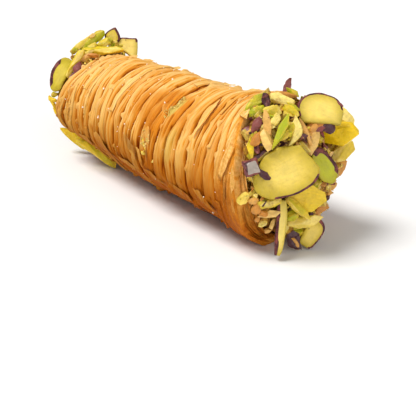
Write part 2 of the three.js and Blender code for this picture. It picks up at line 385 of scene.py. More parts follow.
def roll_radius(roll, along, angle):
    """The radius of the crests, with the roll's slow swells, its flared mouth and its pressed side."""
    x = from_middle(along)
    dents = 0.22 * (2.0 * angle + x * 0.09).sin() + 0.18 * (3.0 * angle - x * 0.13).sin()
    mouth = (0.5 + 2.4 * facing(angle, 85, 3)) * x.ramp(18.0, 32.0)
    taper = 0.8 * (-x).ramp(31.0, 40.0) + 1.1 * facing(angle, 75, 2) * (-x).ramp(16.0, 32.0)
    sag = 0.5 * facing(angle, 270, 8)
    return (dents + mouth + sag - taper) * MM + roll.radius - pressed_side(along, angle)


def fold_place(tree, roll, fold, angle):
    """How far along the roll a fold lies at an angle. The folds are closer at the back, and crowd and
    spread as they go round."""
    share = fold / roll.folds
    crowd = noise(tree, round_roll(tree, fold * 0.55, angle, 0.55), 1.0, 1.0, 0.4) - 0.5
    slow = noise(tree, vector(tree, fold * 0.09, angle.cos() * 0.25 + 7.0, angle.sin() * 0.25), 1.0) - 0.5
    inside = fold.ramp(0.0, 3.0) * (roll.folds - fold).ramp(0.0, 3.0)
    even = share * (EVEN_PART + GROWING_PART * share) + (crowd * 1.15 + slow * 2.2) * inside / roll.folds
    plain = roll.back + (roll.front - roll.back) * even
    x = from_middle(plain)
    ragged = 0.35 * (3.0 * angle + 1.0).sin() + 0.25 * (7.0 * angle).sin()
    torn = 5.0 * facing(angle, 100, 2) + torn_front(angle)
    front_back = (ragged + 0.6 + torn) * x.ramp(24.0, 40.0)
    back_back = (ragged + 0.6 + torn_back(angle)) * (-x).ramp(28.0, 40.0)
    return plain + (back_back - front_back) * MM


def pressed_flat(angle):
    """1 on the lower side, where the folds were rubbed flat, else 0."""
    degrees = (angle / TAU).fract() * 360.0
    return degrees.ramp(188.0, 222.0) * (1.0 - degrees.ramp(262.0, 285.0))


def ripple(tree, along, angle):
    """How the sheet itself rises and falls, besides its folds."""
    return (noise(tree, round_roll(tree, along / MM * 1.7, angle, 4.0), 1.0, 1.0) - 0.5) * 0.16 * MM


def pleated(tree, roll, fold, angle):
    """The pleated surface at a fold, counted along the roll, and an angle: its place along the roll,
    its radius, and where it is between crevice (0) and crest (1)."""
    number = fold.floor()
    step = fold.fract()
    where = round_roll(tree, number * 3.7, angle, 1.5)
    along = fold_place(tree, roll, fold, angle)
    breadth = (fold_place(tree, roll, number + 1.0, angle) - fold_place(tree, roll, number, angle)) / MM
    uneven = noise(tree, where, 1.0, 1.0)
    tall = breadth.ramp(0.6, 2.6, 0.4, 1.0) * uneven.ramp(0.35, 0.65, 0.75, 1.12, smooth=False)
    tall = tall * (1.0 - 0.68 * pressed_flat(angle)) * (1.0 - 0.25 * from_middle(along).ramp(20.0, 30.0))
    # The near edge is steep and a little nicked, the top crowned, and the far side drops into the crevice.
    nick = (noise(tree, round_roll(tree, number * 5.3, angle, 12.0), 1.0, 1.0) - 0.5) * 0.2
    tuft = noise(tree, round_roll(tree, number * 9.1, angle, 5.0), 1.0, 1.0).ramp(0.6, 0.7)
    top_ends = noise(tree, where, 1.7, 1.0).ramp(0.32, 0.68, 0.62, 0.9, smooth=False)
    edge = (step + nick * step.ramp(0.0, 0.03)).ramp(0.0, 0.08)
    slope = ((step - top_ends) / (0.97 - top_ends)).clamped()
    form = edge * (1.0 - slope.ramp(0.0, 1.0))
    rise = form * (1.0 - 0.75 * (step - 0.3) ** 2.0) * tall + 0.4 * tuft * edge * (1.0 - step.ramp(0.1, 0.4))
    # Each fold has shallow wrinkles of its own, which come and go.
    for turn, middle, deep in ((11.0, 0.28, 0.12), (23.0, 0.5, 0.2), (37.0, 0.72, 0.12)):
        strays = noise(tree, round_roll(tree, number * 2.9 + turn, angle, 1.9), 1.0, 1.0)
        groove = 1.0 - ((step - middle - (strays - 0.5) * 0.5).abs() / 0.045).clamped()
        groove = groove.ramp(0.0, 1.0) * strays.ramp(0.5, 0.58) * edge
        rise = rise - deep * groove
        form = form * (1.0 - 0.55 * groove)
    # By the front rim the sheet lies nearly smooth.
    smooth = from_middle(along).ramp(30.0, 34.0)
    rise = rise * (1.0 - 0.75 * smooth) + 0.7 * smooth
    form = form + (1.0 - form) * 0.8 * smooth
    lean = 0.3 * MM * rise.at_least(0.0) * fold.ramp(0.5, 3.0)
    radius = roll_radius(roll, along, angle) + (rise - 0.97) * roll.depth + ripple(tree, along, angle)
    return along - lean, radius, form


def laid_pastry(tree, roll, geometry, along, angle, radius, crevice, tone, margin=0.05):
    """The geometry laid on the roll, with what the pastry's material needs to know. Its grain runs round
    the roll. The attributes are kept first, because they are worked out from the unmoved points."""
    geometry = keep(tree, geometry, "crevice", crevice)
    geometry = keep(tree, geometry, "fold_tone", tone)
    grain = vector(tree, along, angle * GRAIN_RADIUS, radius)
    geometry = keep(tree, geometry, "grain", grain, kind="FLOAT_VECTOR")
    y = radius * angle.cos() + roll.across
    y = y.at_least(CAD_BOX[0][1] + margin * MM).at_most(CAD_BOX[1][1] - margin * MM)
    z = (radius * angle.sin() + roll.height).at_least(0.02 * MM)
    laid = vector(tree, along, y, z)
    return made(tree, "GeometryNodeSetPosition", {"Geometry": geometry, "Position": laid})


def pleat_tree(roll, material):
    """The pastry's outside as rows of folds, closed through the rims and the bore into one shell."""
    rows_per_fold = 19
    tree, size = geometry_tree("Pleated pastry", around=176)
    rows = roll.folds * rows_per_fold
    rim_rows = 5
    bore_rows = 8
    total = rows + rim_rows + bore_rows + rim_rows
    grid = made(tree, "GeometryNodeMeshGrid", {
        "Size X": 1.0, "Size Y": 1.0, "Vertices X": total + 1, "Vertices Y": size["around"]})
    u, t, _ = parts(tree, position(tree))
    row = ((u + 0.5) * total).math("ROUND")
    angle = (t + 0.25) * TAU  # the seam is at the bottom
    even = (row / rows_per_fold).at_most(roll.folds)
    # The rows crowd towards the crevices.
    fold = even.floor() + even.fract() - (even.fract() * TAU).sin() * (0.7 / TAU)
    along, radius, form = pleated(tree, roll, fold, angle)
    # The rows after the last fold go in over the front rim, back through the bore and out again.
    in_front = ((row - float(rows)) / float(rim_rows)).clamped()
    through = ((row - float(rows + rim_rows)) / float(bore_rows)).clamped()
    out_back = ((row - float(rows + rim_rows + bore_rows)) / float(rim_rows)).clamped()
    past = (row - float(rows)).math("GREATER_THAN", 0.5)
    front = fold_place(tree, roll, constant(tree, roll.folds), angle)
    back = fold_place(tree, roll, constant(tree, 0.0), angle)
    layers = noise(tree, round_roll(tree, row * 7.7, angle, 3.0), 1.0, 1.0) - 0.5
    on_rim = past * (1.0 - through.math("GREATER_THAN", 0.01)) * (1.0 - in_front.math("GREATER_THAN", 0.99))
    torn = on_rim * (layers.abs() * 2.4 + 0.1) * MM
    place_x = along + (front + (back - front) * through - along) * past - torn
    hollow = roll.bore - pressed_side(place_x, angle)
    crust = in_front * (1.0 - out_back)
    last_radius = roll_radius(roll, place_x, angle) - 0.97 * roll.depth + ripple(tree, place_x, angle)
    radius = radius + (last_radius + (hollow - last_radius) * crust - radius) * past
    # The crevice value darkens the colour, partly as painted shade: into the crevices and wrinkles and over
    # the far side of each crest. Past the last fold it darkens the torn rim and most of all the bore.
    crevice = (1.0 - form * (1.0 - 0.25 * fold.fract() ** 1.5)).clamped() * (1.0 - past)
    crevice = crevice + past * (0.05 + layers.abs() * 0.6 + 0.6 * through)
    tone = chance(tree, fold.floor(), 3.0)
    mesh = laid_pastry(tree, roll, grid, place_x, angle, radius, crevice, tone)
    merged = made(tree, "GeometryNodeMergeByDistance", {"Geometry": mesh, "Distance": 0.002 * MM})
    return close_tree(tree, made(tree, "GeometryNodeFlipFaces", {0: merged}), material)


def numbered_tubes(tree, count, sides, segments):
    """Closed tubes, one round each of "count" numbers: the geometry, each tube's number, and each point's
    place across (-1 to 1), through (-1 to 1) and along (0 to 1) its tube."""
    points = made(tree, "GeometryNodeMeshLine", {"Count": count, "Offset": (0.0, 0.0, 0.0)})
    tube = made(tree, "GeometryNodeMeshCylinder", {
        "Vertices": sides, "Side Segments": segments, "Radius": 1.0, "Depth": 2.0}, fill_type="TRIANGLE_FAN")
    tubes = made(tree, "GeometryNodeInstanceOnPoints", {"Points": points, "Instance": tube})
    index = made(tree, "GeometryNodeInputIndex")
    numbered = keep(tree, tubes, "number", index, domain="INSTANCE")
    real = made(tree, "GeometryNodeRealizeInstances", {0: numbered})
    across, through, lengthwise = parts(tree, position(tree))
    return real, kept(tree, "number"), across, through, lengthwise * 0.5 + 0.5


def strip_tree(roll, material):
    """Torn strips of pastry stuck to the folds. A strip is a thin flat tube, closed at its torn ends."""
    tree, size = geometry_tree(
        "Torn strips", count=100, seed=1.0, first_fold=1.0, last_fold=24.0, first_angle=0.0, last_angle=TAU,
        least_span=0.25, most_span=1.9, breadth=0.34, thickness=0.14 * MM, level=0.06 * MM, lift=0.3 * MM,
        end_lift=0.3 * MM)
    real, number, w, h, u = numbered_tubes(tree, size["count"], 10, 40)
    number = number + size["seed"] * 101.0
    draw = [chance(tree, number, k + 1.0) for k in range(9)]
    span = between(size, "least_span", "most_span", draw[1] ** 1.6)
    end = (u * 2.0 - 1.0).abs() ** 12.0
    jag = (noise(tree, vector(tree, w * 1.3, number * 7.9, u.math("ROUND") * 4.0), 1.0, 2.0) - 0.5) * end
    angle = between(size, "first_angle", "last_angle", draw[0]) + span * (u - 0.5) + jag * 0.1
    fold = between(size, "first_fold", "last_fold", draw[2]).floor() + 0.12 + draw[8] * 0.5
    ragged = noise(tree, vector(tree, u * span * 5.0, number * 5.1, w * 0.6), 1.0, 2.0) - 0.5
    narrow = 1.0 - 0.6 * draw[4] * (u - draw[5]).abs().ramp(0.0, 1.0)
    reach = size["breadth"] * (0.35 + 0.65 * draw[3]) * (narrow + ragged * 0.7)
    along, radius, form = pleated(tree, roll, fold + w * reach, angle)
    floor = roll_radius(roll, along, angle) - 0.6 * roll.depth
    near = (0.5 - w * 0.5).clamped()
    curl = (u * 2.0 - 1.0).abs() ** 5.0 * draw[6] ** 2.0
    lift = size["level"] + size["lift"] * near ** 2.0 * draw[7] + size["end_lift"] * curl
    radius = radius.at_least(floor) + lift + h * size["thickness"] * 0.5
    # A strip's colour darkens where its fold dips towards a crevice, as painted shade.
    mesh = laid_pastry(tree, roll, real, along, angle, radius, (0.35 - form * 0.35).clamped(), draw[7] * 0.5)
    return close_tree(tree, mesh, material)


def rim_leaf_tree(roll, material):
    """Loose edges of the rolled sheet at the front rim: thin layers inside each other, which stop short of
    each other and are torn at their ends."""
    tree, size = geometry_tree(
        "Rim leaves", count=34, seed=4.0, middle_angle=math.radians(215), most_span=2.6)
    real, number, w, h, u = numbered_tubes(tree, size["count"], 10, 56)
    layer = number / (size["count"] - 1.0)
    draw = [chance(tree, number + size["seed"] * 31.0, k + 1.0) for k in range(7)]
    span = size["most_span"] * (0.35 + 0.65 * draw[0])
    end = (u * 2.0 - 1.0).abs() ** 12.0
    jag = (noise(tree, vector(tree, w * 1.3, number * 7.9, u.math("ROUND") * 4.0), 1.0, 2.0) - 0.5) * end
    angle = size["middle_angle"] + (draw[1] - 0.5) * 1.5 + span * (u - 0.5) + jag * 0.25
    front = fold_place(tree, roll, constant(tree, roll.folds), angle)
    ragged = noise(tree, vector(tree, angle * 2.6, number * 3.1, 0.0), 1.0, 2.0) - 0.5
    narrow = 1.0 - (u * 2.0 - 1.0).abs() ** 4.0 * 0.9
    fanned = 2.4 * facing(angle, 217, 6) * (1.0 - layer)
    short = 3.2 * (layer ** 1.4) * (0.5 + draw[2])
    edge = front + (torn_front(angle) + fanned + 0.9 - short + ragged * 1.3) * MM
    along = edge - (1.0 - w) * 0.5 * (1.6 + 3.0 * draw[3]) * narrow * MM
    outside = roll_radius(roll, along, angle) - 0.75 * roll.depth
    inside = roll.bore + 0.25 * MM - pressed_side(along, angle)
    wave = (noise(tree, vector(tree, angle * 3.0, number * 1.7, w), 1.0) - 0.5) * 0.5 * MM
    flare = (0.35 * draw[4]) * MM * (w * 0.5 + 0.5) ** 2.0
    radius = inside + (outside - inside) * layer + wave + flare + h * 0.07 * MM
    # Each leaf's colour darkens away from its torn edge, as painted shade.
    crevice = (0.5 - w * 0.5).clamped() * 0.25
    mesh = laid_pastry(tree, roll, real, along, angle, radius, crevice, draw[5] * 0.3)
    return close_tree(tree, mesh, material)


def flake_tree(roll, material):
    """One torn flake of pastry on the roll, angular and as thin as the sheet. "Turn" is how its length lies
    from the way round the roll, and one end of it stands up."""
    tree, size = geometry_tree(
        "Torn flake", seed=1.0, x=0.0, angle=0.0, length=5.0 * MM, width=3.0 * MM, turn=0.0, level=0.2 * MM,
        lift=0.6 * MM, point=0.0, sunk=0.0)
    ball = made(tree, "GeometryNodeMeshUVSphere", {"Segments": 48, "Rings": 14, "Radius": 1.0})
    a, b, c = parts(tree, position(tree))
    theta = b.math("ARCTAN2", a)
    reach = 1.3
    for k in range(5):
        towards = (k + 0.9 * chance(tree, size["seed"], k + 1.0)) * (TAU / 5)
        limit = 0.5 + 0.45 * chance(tree, size["seed"], k + 11.0)
        reach = (limit / (theta - towards).cos().at_least(0.05)).at_most(reach)
    edge = vector(tree, theta.cos() * 2.6, theta.sin() * 2.6, size["seed"] * 3.0)
    torn = noise(tree, edge, 1.0, 3.0, 0.7) - 0.5
    reach = reach * (1.0 + torn * 0.5)
    lengthwise = a * reach
    sidewise = b * reach * (1.0 - size["point"] * lengthwise.ramp(-0.8, 1.0, smooth=False))
    far, aside = lengthwise * size["length"] * 0.5, sidewise * size["width"] * 0.5
    turn = size["turn"]
    angle = size["angle"] + (far * turn.cos() - aside * turn.sin()) / roll.radius
    along = size["x"] + far * turn.sin() + aside * turn.cos()
    sheet = vector(tree, lengthwise * 1.4, sidewise * 1.4, size["seed"] * 5.0)
    buckle = (noise(tree, sheet, 1.0, 1.0) - 0.5) * 0.6 * MM
    stand = size["lift"] * (lengthwise * 0.5 + 0.5).clamped() ** 2.0
    stand = stand - size["sunk"] * (0.5 - lengthwise * 0.5).clamped()
    surface = roll_radius(roll, along, angle) - 0.6 * roll.depth * pressed_flat(angle)
    radius = surface + size["level"] + stand + buckle + c * 0.06 * MM
    mesh = laid_pastry(tree, roll, ball, along, angle, radius, 0.02, 0.1)
    return close_tree(tree, mesh, material)


def dust_tree(name, roll, box, material):
    """Tiny bits that lie on the folds, crowded towards the middle of a patch, or held in the crevices."""
    tree, size = geometry_tree(
        name, count=100, seed=1.0, fold=12.0, angle=math.radians(140), folds=1.0, arc=0.2, slant=0.0,
        held=0.0, level=0.1 * MM, smallest=0.5, largest=1.2, tone_low=0.0, tone_high=1.0)
    points = made(tree, "GeometryNodeMeshLine", {"Count": size["count"], "Offset": (0.0, 0.0, 0.0)})
    number = made(tree, "GeometryNodeInputIndex") + size["seed"] * 53.0
    draw = [chance(tree, number, k + 1.0) for k in range(10)]
    across = draw[0] + draw[1] - 1.0
    round_way = draw[2] + draw[3] - 1.0
    angle = size["angle"] + size["arc"] * round_way
    fold = size["fold"] + size["folds"] * across + size["slant"] * round_way
    fold = fold.at_least(0.3).at_most(roll.folds - 0.3)
    crevice = fold.math("ROUND") + draw[9] * 0.14 - 0.08
    fold = fold + (crevice - fold) * size["held"]
    along, radius, _ = pleated(tree, roll, fold, angle)
    radius = radius + size["level"]
    laid = laid_pastry(tree, roll, points, along, angle, radius, draw[4], draw[5], margin=0.35)
    spin = made(tree, "FunctionNodeEulerToRotation", {0: vector(tree, draw[7] * TAU, draw[8] * TAU, 0.0)})
    grown = between(size, "smallest", "largest", draw[6] ** 2.0)
    tone = between(size, "tone_low", "tone_high", draw[5])
    return bits_at(tree, laid, box, draw[4], spin, grown, tone, material)


def bits_at(tree, points, box, which, spin, grown, tone, material):
    """Ends a tree in bits from a box, one at each point. "Which" is 0 to 1 through the box."""
    sources = made(tree, "GeometryNodeCollectionInfo", {
        "Collection": box, "Separate Children": True, "Reset Children": True})
    bits = made(tree, "GeometryNodeInstanceOnPoints", {
        "Points": points, "Instance": sources, "Pick Instance": True, "Rotation": spin, "Scale": grown,
        "Instance Index": (which * float(len(box.objects))).floor()})
    return close_tree(tree, keep(tree, bits, "tone", tone, domain="INSTANCE"), material, smooth=False)


def fold_near(roll, x):
    """The fold that lies near a place along the roll, in millimetres from its middle."""
    even = (x * MM + ROLL_MIDDLE.x * MM - roll.back) / (roll.front - roll.back)
    root = math.sqrt(EVEN_PART ** 2 + 4 * GROWING_PART * even)
    return roll.folds * (root - EVEN_PART) / (2 * GROWING_PART)


# Shapes of the nuts

# Rows of a kernel slice from the middle of its cut face to the middle of its back: share of the
# outline, and height from 1 (cut face) to -1 (back).
SLICE_ROWS = (
    (0, 1), (0.3, 1), (0.6, 1), (0.8, 0.995), (0.9, 0.985), (0.95, 0.96), (0.98, 0.89), (0.995, 0.74),
    (1, 0.45), (1, 0.1), (0.985, -0.3), (0.95, -0.6), (0.87, -0.82), (0.7, -0.95), (0.4, -1), (0, -1))


def face_axes(look, spin):
    """The length, breadth and outward directions of a slice that faces a way (turn from +X and lift from
    level, in degrees) and is spun in its face."""
    turn, lift, spin = (math.radians(value) for value in (*look, spin))
    out_way = Vector((math.cos(turn), math.sin(turn), math.tan(lift))).normalized()
    level = Vector((-math.sin(turn), math.cos(turn), 0))
    upward = out_way.cross(level)
    length_way = level * math.cos(spin) + upward * math.sin(spin)
    return length_way, out_way.cross(length_way), out_way


def within(angle, sectors):
    """How far into any sector (from, to, in degrees) an angle is: 1 inside, 0 outside, smooth between."""
    best = 0.0
    for first, last in sectors:
        middle, half = (first + last) / 2, (last - first) / 2
        off = abs((angle - middle + 180) % 360 - 180)
        best = max(best, min(1.0, max(0.0, (half - off) / 12 + 0.5)))
    return best


def wander(point):
    """A smooth random vector for a point, the same every time."""
    return Vector([mathutils.noise.noise(point + Vector((31.4 * k, 17.2 * k, 7.6 * k))) for k in range(3)])


def kernel_slice(name, size, at, look, spin, blunt=0.9, chords=(), bow=0.0, skin=(), rind=0.55, tone=0.4,
                 rough=0.12, seed=0):
    """A slice of kernel: an oval outline, cut straight along each chord (turn, share of the half width),
    with a nearly flat cut face. "Bow" bends its outline, and skin is left on its edge in each sector,
    "rind" mm of which shows on the cut face."""
    sides = 72
    belly = 0.08  # how much its section is rounded
    length, width, thick = size
    ways = face_axes(look, spin)
    middle = Vector(at) + ROLL_MIDDLE
    points, skins, rims, locals_ = [], [], [], []
    for i, (share, height) in enumerate(SLICE_ROWS):
        ball = math.pi * i / (len(SLICE_ROWS) - 1)
        share += (math.sin(ball) - share) * belly
        height += (math.cos(ball) - height) * belly
        for j in range(sides):
            theta = TAU * j / sides
            c, d = math.cos(theta), math.sin(theta)
            flat = Vector((0.5 * length * math.copysign(abs(c) ** blunt, c),
                           0.5 * width * math.copysign(abs(d) ** blunt, d) * (1 + 0.16 * c)))
            for turn, limit in chords:
                way = Vector((math.cos(math.radians(turn)), math.sin(math.radians(turn))))
                flat -= way * max(0.0, flat.dot(way) - limit * math.hypot(way.x * length, way.y * width) / 2)
            point = Vector((flat.x * share, flat.y * share, height * thick / 2))
            shift = Vector((seed * 7.3, seed * 3.1, seed * 1.7))
            point += wander(point * 0.35 + shift) * rough * 2.0
            point += wander(point * 1.4 + shift) * rough * 0.5
            point.y += bow * ((2 * point.x / length) ** 2 - 0.4)
            points.append((middle + ways[0] * point.x + ways[1] * point.y + ways[2] * point.z) * MM)
            inset = (1 - share) * min(length, width) / 2
            edge = min(1.0, max(0.0, (rind - inset) / 0.15 + 0.5)) if height > 0.3 else 1.0
            skins.append(edge * within(math.degrees(theta) + spin, skin))
            rims.append(share if height > 0 else 1.0)
            locals_.append(Vector((point.x, point.y, point.z)) * MM)
    faces = []
    for i in range(len(SLICE_ROWS) - 1):
        for j in range(sides):
            k = (j + 1) % sides
            faces.append((i * sides + j, (i + 1) * sides + j, (i + 1) * sides + k, i * sides + k))
    return nut_object(name, points, faces, inner=locals_, skin=skins, rim=rims, tone=[tone] * len(points))


def hull_of(points, apart=0.02):
    """A closed shell round points, its corners and faces in the same order every time. Points closer
    together than "apart" are made one."""
    shell = bmesh.new()
    for point in points:
        shell.verts.new(point)
    bmesh.ops.remove_doubles(shell, verts=shell.verts, dist=apart)
    bmesh.ops.convex_hull(shell, input=shell.verts)
    bmesh.ops.delete(shell, geom=[vertex for vertex in shell.verts if not vertex.link_faces], context="VERTS")
    bmesh.ops.recalc_face_normals(shell, faces=shell.faces)
    bmesh.ops.dissolve_limit(shell, angle_limit=0.01, verts=shell.verts, edges=shell.edges)
    corners = sorted(tuple(vertex.co) for vertex in shell.verts)
    loops = []
    for face in shell.faces:
        loop = [corners.index(tuple(vertex.co)) for vertex in face.verts]
        first = loop.index(min(loop))
        loops.append(loop[first:] + loop[:first])
    shell.free()
    ordered = bmesh.new()
    placed = [ordered.verts.new(corner) for corner in corners]
    for loop in sorted(loops):
        ordered.faces.new([placed[number] for number in loop])
    ordered.normal_update()
    return ordered


def worn_hull(points, worn, segments=2, apart=0.02):
    """The closed hull of points, its edges worn round."""
    shell = hull_of(points, apart)
    bmesh.ops.bevel(shell, geom=shell.edges, offset=worn, segments=segments, affect="EDGES",
                    clamp_overlap=True)
    worn_points = [vertex.co.copy() for vertex in shell.verts]
    shell.free()
    return hull_of(worn_points)


def hewn_nut(name, size, at, look, spin, stations=((-1, 0.65), (-0.4, 1), (0.45, 0.95), (1, 0.55)),
             corners=(), bow=0.0, curl=0.0, twist=0.0, skin=(), worn=0.07, tone=0.5, ripe=0.0, rough=0.1,
             seed=0):
    """A chopped piece with flat facets: the hull of its corners, or of a few uneven rings of them, one at
    each station (place from -1 to 1 along it, share of its breadth), with worn edges. Then it is bent and
    twisted (degrees), and skin is left on the facets that face a way in "skin"."""
    draw = random.Random(seed)
    length, width, thick = size
    hull_points = [Vector([part * side / 2 for part, side in zip(corner, size)]) for corner in corners]
    for along, breadth in () if corners else stations:
        start = draw.uniform(0, TAU)
        for k in range(4):
            theta = start + TAU * (k + draw.uniform(-0.3, 0.3)) / 4
            corner = Vector((along * length / 2 + draw.uniform(-0.1, 0.1) * length, 0, 0))
            corner.y = math.cos(theta) * breadth * width / 2 * draw.uniform(0.9, 1.25)
            corner.z = math.sin(theta) * breadth * thick / 2 * draw.uniform(0.9, 1.25)
            hull_points.append(corner)
    shell = worn_hull(hull_points, worn)
    for _ in range(3):
        bmesh.ops.triangulate(shell, faces=shell.faces)
        long = [edge for edge in shell.edges if edge.calc_length() > 0.6]
        bmesh.ops.subdivide_edges(shell, edges=long, cuts=1)
    bmesh.ops.triangulate(shell, faces=shell.faces)
    shell.verts.ensure_lookup_table()
    shell.normal_update()
    ways = face_axes(look, spin)
    middle = Vector(at) + ROLL_MIDDLE
    shift = Vector((seed * 7.3, seed * 3.1, seed * 1.7))
    points, skins, locals_, facets = [], [], [], []
    for vertex in shell.verts:
        facets.append(mathutils.noise.noise(vertex.normal * 1.7 + shift) * 0.9)
        covered = float(any(vertex.normal.dot(Vector(way).normalized()) > 0.7 for way in skin))
        point = vertex.co + wander(vertex.co * 0.5 + shift) * rough * 1.2
        point += wander(vertex.co * 2.2 + shift) * rough * 0.6
        locals_.append(point * MM)
        share = 2 * point.x / length
        angle = math.radians(twist) * share
        point = Vector((point.x, point.y * math.cos(angle) - point.z * math.sin(angle),
                        point.y * math.sin(angle) + point.z * math.cos(angle)))
        point += Vector((0, bow, curl)) * (share ** 2 - 0.4)
        points.append((middle + ways[0] * point.x + ways[1] * point.y + ways[2] * point.z) * MM)
        skins.append(covered)
    faces = [[vertex.index for vertex in face.verts] for face in shell.faces]
    shell.free()
    return nut_object(name, points, faces, inner=locals_, skin=skins, facet=facets, tone=[tone] * len(points),
                      ripe=[ripe] * len(points))


def mark(mesh, domain="POINT", inner=None, **marks):
    """Keeps numbers for the materials on a mesh, by name, and "inner", the places before it was bent."""
    for label, values in marks.items():
        mesh.attributes.new(label, "FLOAT", domain).data.foreach_set("value", values)
    if inner:
        flat = [value for item in inner for value in item]
        mesh.attributes.new("inner", "FLOAT_VECTOR", "POINT").data.foreach_set("vector", flat)


def nut_object(name, points, faces, **marks):
    """A nut's mesh with its doubles merged, and what the nuts' material needs to know of it."""
    mesh = bpy.data.meshes.new(name)
    mesh.from_pydata(points, [], faces)
    mark(mesh, **marks)
    shell = bmesh.new()
    shell.from_mesh(mesh)
    bmesh.ops.remove_doubles(shell, verts=shell.verts, dist=0.002 * MM)
    bmesh.ops.recalc_face_normals(shell, faces=shell.faces)
    shell.to_mesh(mesh)
    shell.free()
    mesh.shade_smooth()
    mesh.set_sharp_from_angle(angle=math.radians(32))
    return linked(bpy.data.objects.new(name, mesh))


def chopped_bit(name, size, draw, skin_share=0.0, bend=0.0, corners=11):
    """A chopped bit: the hull of a few points in a box, its edges a little worn. Its size is in millimetres.
    One side may keep its skin."""
    points = []
    for _ in range(corners):
        way = Vector([draw.uniform(-1, 1) for _ in range(3)]).normalized()
        point = Vector([max(-1, min(1, part * 1.15 / 0.72)) * 0.5 * side for part, side in zip(way, size)])
        point.z += bend * (2 * point.x / size[0]) ** 2
        points.append(point)
    shell = worn_hull(points, 0.06 * min(size), segments=1, apart=0.25 * min(size))
    bmesh.ops.triangulate(shell, faces=shell.faces)
    mesh = bpy.data.meshes.new(name)
    shell.to_mesh(mesh)
    shell.free()
    mesh.transform(Matrix.Scale(MM, 4))
    side = Vector([draw.uniform(-1, 1) for _ in range(3)]).normalized()
    kept_skin = draw.random() < skin_share
    skins = [1.0 if kept_skin and face.normal.dot(side) > 0.45 else 0.0 for face in mesh.polygons]
    facets = [mathutils.noise.noise(face.normal * 1.7 + side * 9) * 0.6 for face in mesh.polygons]
    mark(mesh, "FACE", inner=[vertex.co for vertex in mesh.vertices], skin=skins, facet=facets)
    return bpy.data.objects.new(name, mesh)


def box_of_bits(name, size, seed, kinds=9, **form):
    """A collection of chopped bits, about as large as the size, to scatter."""
    draw = random.Random(seed)
    box = bpy.data.collections.new(name)
    for n in range(kinds):
        own = [side * draw.uniform(0.75, 1.25) for side in size]
        box.objects.link(chopped_bit(f"{name}_{n}", own, draw, **form))
    return box


def removed(*things):
    for thing in things:
        bpy.data.objects.remove(thing)


def empty_box(box):
    removed(*box.objects)
    bpy.data.collections.remove(box)


def over_slices(tree, slices, where, breadth):
    """How far a place is from the large slices, and 1 if it would lie over their faces, seen from the near
    front corner, else 0. "Breadth" is half of what lies there."""
    large = made(tree, "GeometryNodeObjectInfo", {"Object": slices}, slot="Geometry")
    distance = made(tree, "GeometryNodeProximity", {0: large, "Source Position": where}, slot="Distance",
                    target_element="FACES")
    inwards = Vector((-0.708, 0.575, -0.41))
    sideways = Vector((0.631, 0.776, 0))
    upwards = Vector((-0.318, 0.259, 0.912))
    over = None
    for a, b in ((0, 0), (1, 0), (-1, 0), (0, 1), (0, -1)):
        start = added(tree, where, scaled(tree, sideways * a + upwards * b, breadth))
        hit = made(tree, "GeometryNodeRaycast", {
            "Target Geometry": large, "Source Position": start, "Ray Direction": inwards,
            "Ray Length": 5.0 * MM}, slot="Is Hit")
        over = hit if over is None else over.at_least(hit)
    return distance, over


def scatter_tree(name, ground, keep_off, box, material):
    """Bits from a box, set at random on the open parts of the ground, sunk into it and clear of the large
    slices."""
    tree, size = geometry_tree(name, seed=1, spacing=2.5 * MM, clear=1.5 * MM, sink=0.2 * MM, smallest=0.8,
                               largest=1.2, tilt=0.6, tone_low=0.2, tone_high=0.7)
    surface = made(tree, "GeometryNodeObjectInfo", {"Object": ground}, slot="Geometry")
    spread = place(tree, "GeometryNodeDistributePointsOnFaces", {
        "Mesh": surface, "Distance Min": size["spacing"], "Density Max": 4.0e6,
        "Density Factor": kept(tree, "open"), "Seed": size["seed"]}, distribute_method="POISSON")
    x, _, _ = parts(tree, position(tree))
    clear = size["clear"] * (1.0 + 0.7 * (-x / MM).math("GREATER_THAN", 0.0))
    distance, hides = over_slices(tree, keep_off, position(tree), clear * 0.6)
    cleared = made(tree, "GeometryNodeDeleteGeometry", {
        0: out(tree, spread), "Selection": distance.math("LESS_THAN", clear).at_least(hides)}, domain="POINT")
    number = made(tree, "GeometryNodeInputIndex") + size["seed"] * 13.0
    draw = [chance(tree, number, k + 1.0) for k in range(6)]
    leans = [(draw[k] - 0.5) * size["tilt"] * 2.0 for k in (0, 1)]
    spin = made(tree, "FunctionNodeRotateRotation", {
        0: out(tree, spread, "Rotation"),
        1: made(tree, "FunctionNodeEulerToRotation", {0: vector(tree, *leans, draw[2] * TAU)})},
        rotation_space="LOCAL")
    sunk = made(tree, "GeometryNodeSetPosition", {
        "Geometry": cleared, "Offset": scaled(tree, out(tree, spread, "Normal"), -size["sink"])})
    grown = between(size, "smallest", "largest", draw[3])
    tone = between(size, "tone_low", "tone_high", draw[5])
    return bits_at(tree, sunk, box, draw[4], spin, grown, tone, material)


def scattered(name, ground, keep_off, material, bit, form, spread, seed):
    """A finished piece of scattered bits, from the size of one, its form and how they are spread. Lengths
    are in millimetres."""
    box = box_of_bits(name + "_box", bit, seed, **form)
    sizes = {"seed": seed, **spread}
    for label in ("spacing", "clear", "sink"):
        sizes[label] *= MM
    piece = grow(name, scatter_tree(name, ground, keep_off, box, material), **sizes)
    finish_piece(piece, "nut_flesh")
    empty_box(box)


